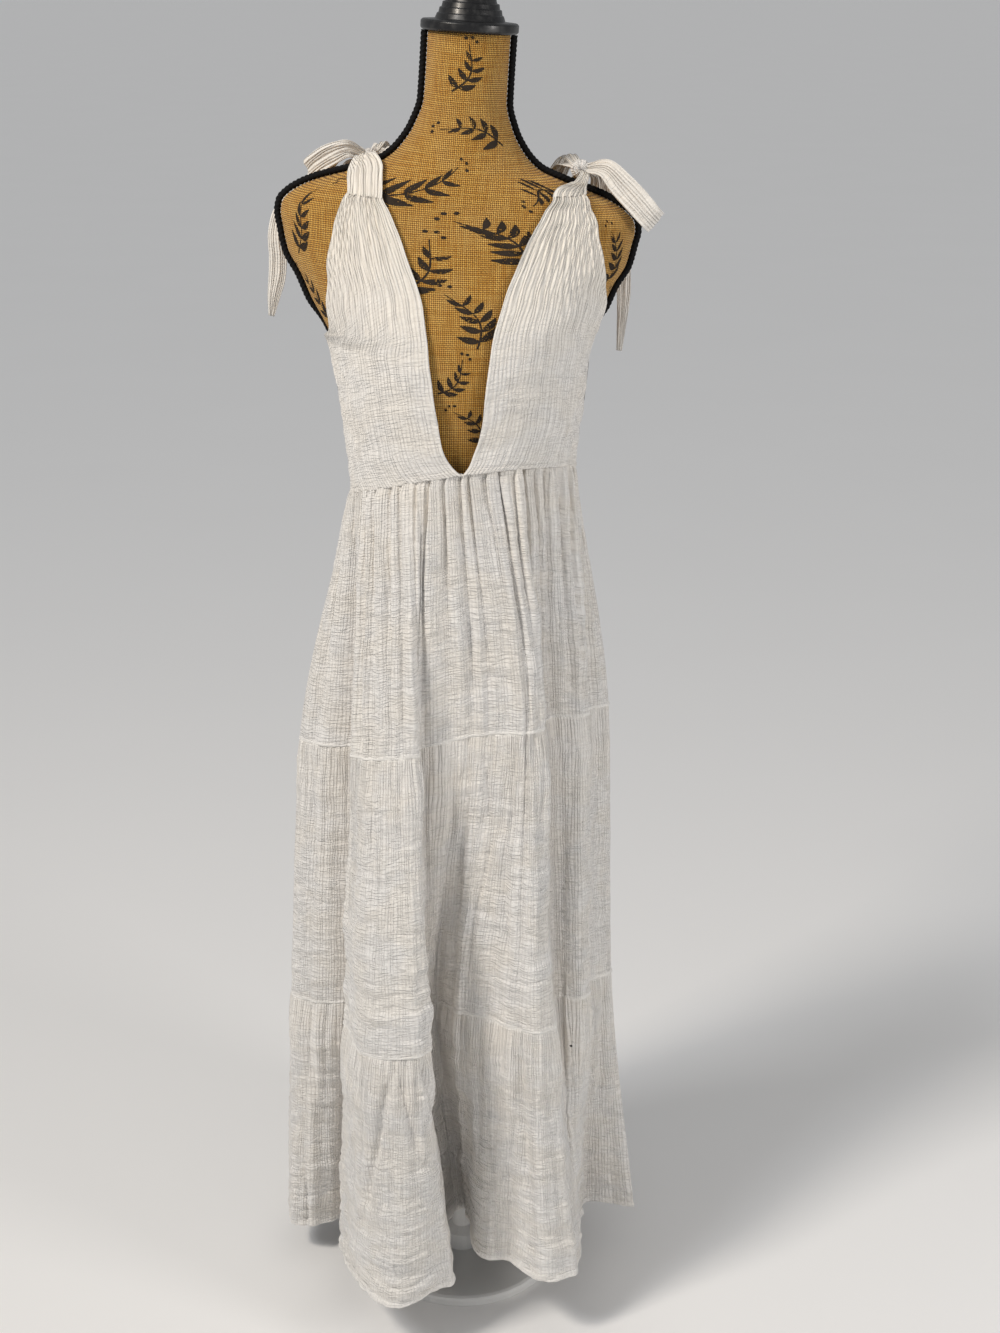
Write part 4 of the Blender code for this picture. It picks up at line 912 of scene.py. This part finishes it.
def add_ribbon(ribbon, look):
    """A bow's loop or tail: a band gathered into its knot, with rolled edges and soft pleats along it."""
    shoulder = next(row for row in SHOULDERS if row.side == ribbon.side)
    centre = knot_centre(shoulder)
    rows = np.array(ribbon.rows) * MM
    ends = (0, -1) if ribbon.is_loop else (0,)
    for end in ends:
        away = rows[end, :3] - centre
        at_knot = centre + away / math.sqrt(sum((away / KNOT_SIZE) ** 2)) * RIBBON_HELD
        row = np.append(at_knot, ribbon.knot_width * MM)[None, :]
        rows = np.concatenate([row, rows] if end == 0 else [rows, row])
    middle, width = rows[:, :3], rows[:, 3:]
    across = np.array(ribbon.across) / np.linalg.norm(ribbon.across)
    sides = np.tile(across, (len(middle), 1))
    for end in ends:
        run = unit(middle[1] - middle[0] if end == 0 else middle[-1] - middle[-2])
        sides[end] = unit(across - run * across.dot(run))
    rows, place = smooth_line(middle, np.concatenate([width, sides], axis=1), 82)
    line, width, sides = rows[:, :3], rows[:, 3:4], rows[:, 4:]
    if not ribbon.is_loop:
        width = np.maximum(width, 2 * MM)
    seed = 900 + 20 * RIBBONS.index(ribbon)
    columns = np.linspace(-0.5, 0.5, 27)[None, :]
    run = unit(np.gradient(line, axis=0))
    sides = unit(sides - run * (sides * run).sum(axis=1, keepdims=True))
    normal = np.cross(run, sides)
    from_knot = np.minimum(place, place[-1] - place) if ribbon.is_loop else place
    meander = 0.3 * noise(columns * 5 + 9, place / 0.03, seed)
    out = (0.3 + 1.5 * np.exp(-from_knot / 0.020)) * np.sin(TURN * (2.3 * columns + meander)) * MM
    out += crinkle(columns * 0.025 + seed, place, 0.8, 0.35, seed)
    out += RIBBON_CROWN * (1 - 4 * columns ** 2) * ease(from_knot / 0.02)
    edge = (0.5 - np.abs(columns)) * width
    out += 0.4 * MM * fall(edge, 2 * MM, MM)
    points = line[:, None, :] + sides[:, None, :] * (columns * width)[..., None]
    piece = add_sheet(ribbon.name, "cloth", lean(points + normal[:, None, :] * out[..., None]),
                      columns * 0.025 + seed, place, look, doubled=0.4 * fall(edge, 2.6 * MM, MM), drawn_and_warm_light=0.8)
    thick = piece.modifiers.new("thickness", "SOLIDIFY")
    thick.thickness = RIBBON_THICK
    thick.offset = 0.0
    cut = (max(row[-1] for row in ribbon.rows) * MM, float(place[-1, 0]))
    "knot_" + ribbon.side + "_cloth"


def add_torso(look):
    """The padded torso under its burlap, closed at the bottom."""
    low, high = FORM[0].height + 0.6 * MM, FORM[-1].height
    heights = np.concatenate([[low] * 2, np.linspace(low + 0.4 * MM, high, 150), [high] * 2])
    angle, height = np.meshgrid(np.linspace(-math.pi, math.pi, 101)[:-1], heights)
    inward = np.array([0.02, 0.97] + [1.0] * 150 + [0.97, 0.02])[:, None, None]
    middle = stack(0.0, FORM_BEHIND(height), height)
    points = lean(mix(middle, form_point(angle, height), inward))
    across = lengths_along(points, 1)
    across = across - across.mean(axis=1, keepdims=True)
    add_sheet("form_torso", "cover", points, across, height, look, closed=True)


# Printed sprigs: ring angle in degrees, height, turn in degrees, size and how many pairs of leaves.
SPRIGS = table("angle height turn size pairs", (
    (-6, 1.520, 20, 0.050, 4), (10, 1.452, -70, 0.052, 4), (-22, 1.400, 62, 0.062, 5),
    (12, 1.345, -35, 0.058, 6), (-14, 1.318, 28, 0.058, 4), (40, 1.392, -96, 0.050, 4),
    (3, 1.266, -18, 0.060, 5), (-4, 1.206, 40, 0.046, 4), (4, 1.150, -30, 0.048, 4),
    (-64, 1.352, 15, 0.070, 5), (-72, 1.275, -28, 0.056, 4), (62, 1.330, -12, 0.066, 5),
    (74, 1.262, 24, 0.050, 4), (150, 1.400, 40, 0.062, 5), (205, 1.370, -50, 0.074, 6),
    (172, 1.320, 12, 0.062, 5), (228, 1.300, 34, 0.058, 4), (130, 1.310, -28, 0.066, 5),
    (188, 1.470, -20, 0.052, 4), (180, 1.240, -24, 0.056, 4),
))
INK_LIFT = 0.35 * MM
STEM_HALF_WIDTH = 0.85 * MM
DOT_RADIUS = 1.6 * MM


def sprig_strokes(row):
    """The strokes of a sprig about its middle: each a line and its half width at each point."""
    share = np.linspace(0, 1, 26)
    stem = stack(0.16 * row.size * np.sin(math.pi * share * 1.2), (share - 0.5) * row.size)
    yield stem, STEM_HALF_WIDTH * (1.1 - 0.7 * share)
    for pair in range(row.pairs):
        root = stem[3 + int(pair * 20 / row.pairs)]
        length = row.size * (0.30 - 0.16 * pair / row.pairs)
        share = np.linspace(0, 1, 9)[:, None]
        half = 0.20 * length * np.sin(math.pi * np.clip(share[:, 0], 0.04, 0.97)) ** 0.8
        for side in (-1, 1):
            tip = np.array((side * 0.86, 0.55 + 0.08 * pair))
            bow = 0.12 * length * np.sin(math.pi * share) * np.array((0.4, -0.9))
            yield root + share * tip * length + bow, half
    share = np.linspace(-1, 1, 7)
    for dot in range(3):
        spot = stem[-1] + np.array((-0.10 + 0.10 * dot, 0.10 + 0.05 * (dot % 2))) * row.size
        half = DOT_RADIUS * np.sqrt(np.clip(1.02 - share ** 2, 0.02, 1))
        yield spot + stack(0.0, share) * DOT_RADIUS, half


def add_print(look):
    """Sprigs of leaves and dots printed on the sacking."""
    points, faces, places = [], [], []
    for row in SPRIGS:
        turn = math.radians(row.turn)
        reach = np.hypot(*(form_point(math.radians(row.angle), np.array([row.height]))[0, :2]))
        for middle, half in sprig_strokes(row):
            run = unit(np.gradient(middle, axis=0))
            edge = stack(-run[:, 1], run[:, 0]) * half[:, None]
            flat = np.concatenate([middle - edge, middle + edge], axis=1).reshape(-1, 2)
            u = flat[:, 0] * math.cos(turn) + flat[:, 1] * math.sin(turn)
            v = flat[:, 1] * math.cos(turn) - flat[:, 0] * math.sin(turn)
            angle, height = math.radians(row.angle) + u / reach, row.height + v
            lows = len(points) + 2 * np.arange(len(middle) - 1)[:, None]
            faces += (lows + (0, 1, 3, 2)).tolist()
            points += lean(form_point(angle, height) + form_normal(angle, height) * INK_LIFT).tolist()
            places += stack(u + row.angle, v).tolist()
    mesh = bpy.data.meshes.new("form_torso_print")
    mesh.from_pydata(points, [], faces)
    layer = mesh.uv_layers.new(name="cloth")
    layer.data.foreach_set("uv", np.array(places)[np.array(faces)].reshape(-1).astype(np.float32))
    mesh.polygons.foreach_set("use_smooth", np.ones(len(faces), bool))
    mesh.materials.append(look)
    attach(put_in_scene("form_torso_print", mesh), "root")


CORD_PITCH = 15 * MM
CORD_STEP = 1.2 * MM
CORD_SUNK = 0.3 * MM


def add_piping(side, sign, look):
    """A twisted cord of three strands along the form's side seam."""
    heights = np.linspace(PIPING_BOTTOM, FORM[-1].height - PIPING_GAP, 700)
    seam = stack(FORM_SIDE(heights), FORM_BEHIND(heights), heights)
    run = unit(np.gradient(seam, axis=0))
    radius = mix(PIPING_UNDER_CLOTH, PIPING_RADIUS, ease((heights - PIPING_NARROWS) / 0.03))
    outward = unit(stack(run[:, 2], 0.0, -run[:, 0]))
    line = lean((seam + outward * (radius - CORD_SUNK)[:, None]) * (sign, 1, 1))
    distance = lengths_along(line, 0)
    even = np.linspace(0, distance[-1], int(distance[-1] / CORD_STEP))
    line = stack(*(np.interp(even, distance, values) for values in line.T))
    radius = np.interp(even, distance, radius)[:, None]
    run = unit(np.gradient(line, axis=0))
    first = unit(np.cross(run, (0.0, 1.0, 0.0)))
    second = np.cross(run, first)
    turns = np.linspace(0, TURN, 21)[:-1]
    even = even[:, None]
    reach = radius * (0.68 + 0.26 * np.abs(np.sin(1.5 * (turns + sign * TURN * even / CORD_PITCH))))
    points = (line[:, None, :] + first[:, None, :] * (reach * np.cos(turns))[..., None]
              + second[:, None, :] * (reach * np.sin(turns))[..., None])
    add_sheet("form_piping_" + side, "cord", points, turns * 0.004, even, look, closed=True)


CAP_EDGE = 0.7 * MM
CAP_CENTRE = 0.2 * MM


def add_neck_cap(look):
    """The turned cap, its profile's corners eased."""
    profile = np.array(NECK_CAP)
    eased = [profile[0]]
    for before, corner, after in zip(profile, profile[1:], profile[2:]):
        back, on = before - corner, after - corner
        reach = min(CAP_EDGE, np.linalg.norm(on) * 0.4, np.linalg.norm(back) * 0.4)
        start, end = corner + unit(back) * reach, corner + unit(on) * reach
        for share in (0.0, 0.25, 0.5, 0.75, 1.0):
            eased.append(mix(mix(start, corner, share), mix(corner, end, share), share))
    eased = np.array(eased + [profile[-1]])
    eased[0, 0] = eased[-1, 0] = CAP_CENTRE
    turns = np.linspace(0, TURN, 73)[:-1]
    points = stack(eased[:, :1] * np.cos(turns), eased[:, :1] * np.sin(turns), eased[:, 1:])
    top = lean(np.array((0.0, FORM[-1].behind, FORM[-1].height)))
    points = points @ np.array(Matrix.Rotation(LEAN, 3, "Y")).T + top
    add_sheet("neck_cap", "turned", points, turns * 0.05, lengths_along(points, 0), look, closed=True)


class Wire:
    """A node's output, with arithmetic that adds its own nodes."""

    def __init__(self, look, socket):
        self.look, self.socket = look, socket

    def maths(self, operation, *values):
        return self.look.add("ShaderNodeMath", {"operation": operation}, *values)

    def __add__(self, other):
        return self.maths("ADD", self, other)

    def __sub__(self, other):
        return self.maths("SUBTRACT", self, other)

    def __rsub__(self, other):
        return self.maths("SUBTRACT", other, self)

    def __mul__(self, other):
        return self.maths("MULTIPLY", self, other)

    __radd__, __rmul__ = __add__, __mul__

    def wave(self):
        return self.maths("SINE", self)

    def size(self):
        return self.maths("ABSOLUTE", self)

    def held(self, low, high):
        """The value brought from between two limits to between 0 and 1."""
        return self.look.add("ShaderNodeMapRange", {"interpolation_type": "SMOOTHSTEP"}, self, low, high)


class Look:
    """A material, and the nodes that its maker adds to it."""

    def __init__(self, name, roughness, **fixed):
        self.material = bpy.data.materials.new(name)
        self.material.use_nodes = True
        self.tree = self.material.node_tree
        self.shader = self.tree.nodes["Principled BSDF"]
        self.shader.inputs["Roughness"].default_value = roughness
        for socket, value in fixed.items():
            self.shader.inputs[socket.replace("_", " ")].default_value = value

    def link(self, value, socket):
        if isinstance(value, Wire):
            self.tree.links.new(value.socket, socket)
        elif value is not None:
            socket.default_value = value

    def add(self, kind, settings, *values, output=0, **named):
        node = self.tree.nodes.new(kind)
        for name, value in settings.items():
            setattr(node, name, value)
        for socket, value in zip(node.inputs, values):
            self.link(value, socket)
        for name, value in named.items():
            self.link(value, node.inputs[name])
        return Wire(self, node.outputs[output])

    def cloth_map(self):
        return self.add("ShaderNodeUVMap", {"uv_map": "cloth"})

    def stretched(self, place, across, along, detail=2.0, seed=0.0):
        """Noise of its own size in metres across and along the cloth."""
        moved = self.add("ShaderNodeVectorMath", {"operation": "MULTIPLY_ADD"}, place,
                         (1 / across, 1 / along, 1.0), (seed, seed * 1.7, seed))
        return self.add("ShaderNodeTexNoise", {"noise_dimensions": "2D"}, Vector=moved, Scale=1.0,
                        Detail=detail, Roughness=0.6)

    def valleys(self, value):
        """Rounded ridges that meet in thin valleys, where smooth noise crosses its middle."""
        return (value - 0.5).size().held(0.0, 0.13)

    def between(self, share, low, high):
        """A colour part of the way between two."""
        low, high = (value if isinstance(value, Wire) else (*value, 1.0) for value in (low, high))
        return self.add("ShaderNodeMix", {"data_type": "RGBA"}, share, *[None] * 5, low, high, output=2)

    def show(self, **sockets):
        for name, value in sockets.items():
            self.link(value, self.shader.inputs[name.replace("_", " ")])

    def raise_by(self, height, distance, strength):
        self.show(Normal=self.add("ShaderNodeBump", {}, Strength=strength, Distance=distance, Height=height))


GAUZE_RIB = 3.4 * MM
# The speck's place on the bottom tier's gauze, which is mapped from 3 m on as the tier is the third:
# how far round the front half it is, and how far under the seam.
SPECK_ROUND = 796.2 * MM
SPECK_UNDER_SEAM = 63.8 * MM
SPECK_RADIUS = 1.9 * MM


def cotton_gauze():
    """Crinkled double gauze: loose ribs up the cloth, slubs and creases across it, and an open weave."""
    look = Look("cotton_gauze", 0.92, Sheen_Weight=0.25, Sheen_Roughness=0.6, Specular_IOR_Level=0.15)
    place = look.cloth_map()
    across = look.add("ShaderNodeSeparateXYZ", {}, place)
    wander = look.stretched(place, 0.010, 0.09, detail=2.0, seed=21.0)
    ribs = (across * (math.pi / GAUZE_RIB) + wander * 6.0).wave().size()
    ribs = ribs * (look.stretched(place, 0.011, 0.030, seed=31.0) + 0.35)
    slubs = look.stretched(place, 0.015, 0.0023, detail=1.0, seed=4.0).held(0.36, 0.60)
    puffs = look.valleys(look.stretched(place, 0.024, 0.0042, detail=1.0, seed=41.0))
    fine = look.stretched(place, 0.0010, 0.0010, detail=1.0, seed=9.0)
    share = look.stretched(place, 0.05, 0.05, seed=14.0).held(0.35, 0.65)
    layers = look.add("ShaderNodeUVMap", {"uv_map": "doubled"})
    doubled = look.add("ShaderNodeSeparateXYZ", {}, layers)
    drawn_and_warm_light = look.add("ShaderNodeSeparateXYZ", {}, layers, output=1)
    relief = ribs * (drawn_and_warm_light * 0.18 + 0.44) + (slubs * 0.20 + puffs * 0.34) * (1.0 - drawn_and_warm_light * 0.85)
    # Painted shade in the crinkles' valleys and painted light on their tops, with a little random variation
    # from the fine noise; the shaded and lit colours follow it.
    crinkle_shade_and_light = (relief * 0.9 + fine * 0.2).held(0.1, 0.85)
    shaded = look.between(share, (0.80, 0.76, 0.71), (0.795, 0.77, 0.745))
    lit = look.between(share, (0.88, 0.845, 0.795), (0.87, 0.85, 0.825))
    # Cream where the cloth is pulled up into ribs: partly the burlap showing through, partly painted warm
    # light.
    cream_and_warm_light = look.between(crinkle_shade_and_light, (0.85, 0.79, 0.70), (0.93, 0.88, 0.80))
    colours = look.between(drawn_and_warm_light * drawn_and_warm_light * 0.85, look.between(crinkle_shade_and_light, shaded, lit), cream_and_warm_light)
    # Painted shade: cloth lying deep between the skirt's folds is darkened towards a warm grey.
    colours = look.between(doubled * -0.3, colours, (0.55, 0.50, 0.45))
    speck = look.add("ShaderNodeVectorMath", {"operation": "DISTANCE"}, place,
                     (SPECK_ROUND, 3 + SPECK_UNDER_SEAM, 0.0), output=1)
    colours = look.between(speck.held(SPECK_RADIUS * 0.7, SPECK_RADIUS), (0.05, 0.045, 0.04), colours)
    colours = look.between(doubled, colours, (0.90, 0.875, 0.835))
    look.show(Base_Color=colours)
    look.raise_by(relief * (1.0 - doubled.held(0.0, 1.0) * 0.6) + fine * 0.06, 2.3 * MM, 1.0)
    return look.material


THREAD = 2.1 * MM


def burlap():
    """Coarse plain weave: warp and weft over and under each other, with uneven threads."""
    look = Look("burlap", 0.95, Sheen_Weight=0.15, Specular_IOR_Level=0.1)
    place = look.cloth_map()
    across, along = (look.add("ShaderNodeSeparateXYZ", {}, place, output=axis) for axis in (0, 1))
    wobble = (look.stretched(place, 0.008, 0.03, seed=2.0) - 0.5) * 0.9
    sway = (look.stretched(place, 0.03, 0.008, seed=6.0) - 0.5) * 0.9
    warp = (across * (math.pi / THREAD) + wobble).wave()
    weft = (along * (math.pi / THREAD) + sway).wave()
    over = (warp * weft).held(-0.3, 0.3)
    height = (warp * warp) * over + (weft * weft) * (1.0 - over)
    thick = look.stretched(place, 0.0022, 0.04, seed=11.0) + look.stretched(place, 0.04, 0.0022, seed=17.0)
    faded = look.stretched(place, 0.06, 0.06, seed=23.0)
    threads = look.between(thick.held(0.7, 1.3), (0.68, 0.33, 0.05), (0.95, 0.57, 0.14))
    threads = look.between(faded.held(0.35, 0.75) * 0.35, threads, (0.88, 0.57, 0.20))
    look.show(Base_Color=look.between(height.held(0.12, 0.75), (0.13, 0.05, 0.012), threads))
    look.raise_by(height, 1.0 * MM, 0.9)
    return look.material


def worn_ink():
    """Black ink printed on the sacking, broken where the threads did not take it."""
    look = Look("worn_ink", 0.9, Specular_IOR_Level=0.1)
    place = look.cloth_map()
    broken = look.stretched(place, 0.0016, 0.0016, detail=2.0)
    worn = look.stretched(place, 0.012, 0.012, seed=5.0)
    look.show(Base_Color=look.between(worn, (0.016, 0.012, 0.010), (0.05, 0.038, 0.028)),
              Alpha=(broken + worn * 0.5).held(0.50, 0.66))
    return look.material


def black_cord():
    """Waxed cord with fine fibres along its strands."""
    look = Look("black_cord", 0.8, Specular_IOR_Level=0.12)
    place = look.cloth_map()
    fibres = look.stretched(place, 0.0006, 0.006, detail=3.0)
    look.show(Base_Color=look.between(fibres, (0.003, 0.003, 0.0035), (0.014, 0.014, 0.015)))
    look.raise_by(fibres, 0.3 * MM, 0.6)
    return look.material


def black_gloss():
    """Lacquered turned cap, with faint turning marks and dust."""
    look = Look("black_gloss", 0.3, Coat_Roughness=0.12)
    place = look.cloth_map()
    marks = look.stretched(place, 0.5, 0.0009)
    dust = look.stretched(place, 0.012, 0.012, detail=5.0, seed=3.0)
    look.show(Base_Color=look.between(dust.held(0.45, 0.8), (0.008, 0.008, 0.009), (0.03, 0.03, 0.03)),
              Roughness=dust.held(0.3, 0.8) * 0.22 + 0.24)
    look.raise_by(marks, 0.08 * MM, 0.5)
    return look.material


def white_paint():
    """Satin white paint on the pole and base, with a slight orange-peel and scuffs."""
    look = Look("white_paint", 0.4)
    place = look.add("ShaderNodeTexCoord", {}, output=3)
    peel = look.add("ShaderNodeTexNoise", {}, Vector=place, Scale=420.0, Detail=2.0)
    scuffs = look.add("ShaderNodeTexNoise", {}, Vector=place, Scale=9.0, Detail=6.0)
    look.show(Base_Color=look.between(scuffs.held(0.35, 0.7), (0.80, 0.79, 0.77), (0.87, 0.865, 0.85)),
              Roughness=scuffs * 0.25 + 0.3)
    look.raise_by(peel, 0.1 * MM, 0.3)
    return look.material


FLOOR_HALF = 110.0


def pale_floor():
    """A plain pale floor round the stand."""
    look = Look("pale_floor", 0.85)
    place = look.add("ShaderNodeTexCoord", {}, output=3)
    grain = look.add("ShaderNodeTexNoise", {}, Vector=place, Scale=2.0, Detail=3.0)
    look.show(Base_Color=look.between(grain, (0.90, 0.89, 0.88), (0.92, 0.91, 0.90)))
    mesh = bpy.data.meshes.new("floor")
    corners = [(x * FLOOR_HALF, y * FLOOR_HALF, 0) for x, y in ((-1, -1), (1, -1), (1, 1), (-1, 1))]
    mesh.from_pydata(corners, [], [(0, 1, 2, 3)])
    mesh.materials.append(look.material)
    floor = put_in_scene("floor", mesh)
    floor.location.z = -0.5 * MM


# The camera: the frame's height, the lens and the sideways shift in pixels, and how far it looks down.
FRAME_HEIGHT = 1333
LENS = 1957
SHIFT = 38
LOOKS_DOWN = 20.15
SENSOR = 36.0


def add_camera():
    lens = bpy.data.cameras.new("camera")
    lens.sensor_fit = "VERTICAL"
    lens.sensor_height = SENSOR
    lens.lens = SENSOR * LENS / FRAME_HEIGHT
    lens.shift_x = SHIFT / FRAME_HEIGHT
    camera = put_in_scene("camera", lens)
    camera.location = (0.0, -2.2, 1.64)
    camera.rotation_euler = (math.radians(90 - LOOKS_DOWN), 0.0, 0.0)
    bpy.context.scene.camera = camera


def add_light(name, kind, strength, tint, direction, place=(0.0, 0.0, 0.0), **settings):
    light = bpy.data.lights.new(name, kind)
    light.energy = strength
    light.color = tint
    for setting, value in settings.items():
        setattr(light, setting, value)
    lamp = put_in_scene(name, light)
    lamp.location = place
    lamp.rotation_euler = Vector(direction).to_track_quat("-Z", "Y").to_euler()


def light_studio():
    """A small warm window at the left, a broader one at the right and a soft cool skylight."""
    world = bpy.data.worlds.new("studio")
    world.use_nodes = True
    background = world.node_tree.nodes["Background"].inputs
    background["Color"].default_value = (0.96, 0.98, 1.0, 1.0)
    background["Strength"].default_value = 0.32
    bpy.context.scene.world = world
    add_light("left_window", "AREA", 31.0, (1.0, 0.91, 0.79), (1.5, 1.2, -1.3), (-1.5, -1.2, 2.7), size=0.45)
    add_light("right_window", "AREA", 17.0, (1.0, 0.96, 0.92), (-1.9, 1.4, -0.9), (2.0, -1.4, 1.7), size=0.7)
    add_light("skylight", "SUN", 0.76, (0.98, 0.985, 1.0), (0.60, 0.44, -0.94), angle=math.radians(14))
    bpy.context.scene.view_settings.view_transform = "Standard"


def main():
    add_camera()
    pale_floor()
    light_studio()
    gauze, cord, paint = cotton_gauze(), black_cord(), white_paint()
    for name in ("stand_base", "stand_pole"):
        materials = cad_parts[name].data.materials
        materials.clear()
        materials.append(paint)
    add_torso(burlap())
    add_print(worn_ink())
    for side, sign in (("left", -1), ("right", 1)):
        add_piping(side, sign, cord)
    add_neck_cap(black_gloss())
    top_left = add_front_panel("left", -1, PANEL_LEFT, CREASES_LEFT, gauze)
    top_right = add_front_panel("right", 1, PANEL_RIGHT, CREASES_RIGHT, gauze)
    add_back(gauze)
    for shoulder, sign, top, ribs in zip(SHOULDERS, (-1, 1), (top_left, top_right), (5.5, 6.5)):
        add_strap("strap_front_" + shoulder.side, top, shoulder.knot_x, shoulder.front_turn,
                  shoulder.front_lift, shoulder.narrows, ribs, 40 + sign, gauze, sign < 0)
        add_strap("strap_back_" + shoulder.side, back_strap_start(sign), shoulder.knot_x, shoulder.back_turn,
                  shoulder.back_lift, BACK_STRAP_NARROWS, 5.5, 60 + sign, gauze, sign > 0)
        add_knot(shoulder, gauze)
    for ribbon in RIBBONS:
        add_ribbon(ribbon, gauze)
    skirt = Skirt()
    for tier in TIERS:
        for back in (False, True):
            add_tier(skirt, tier, back, gauze)


main()
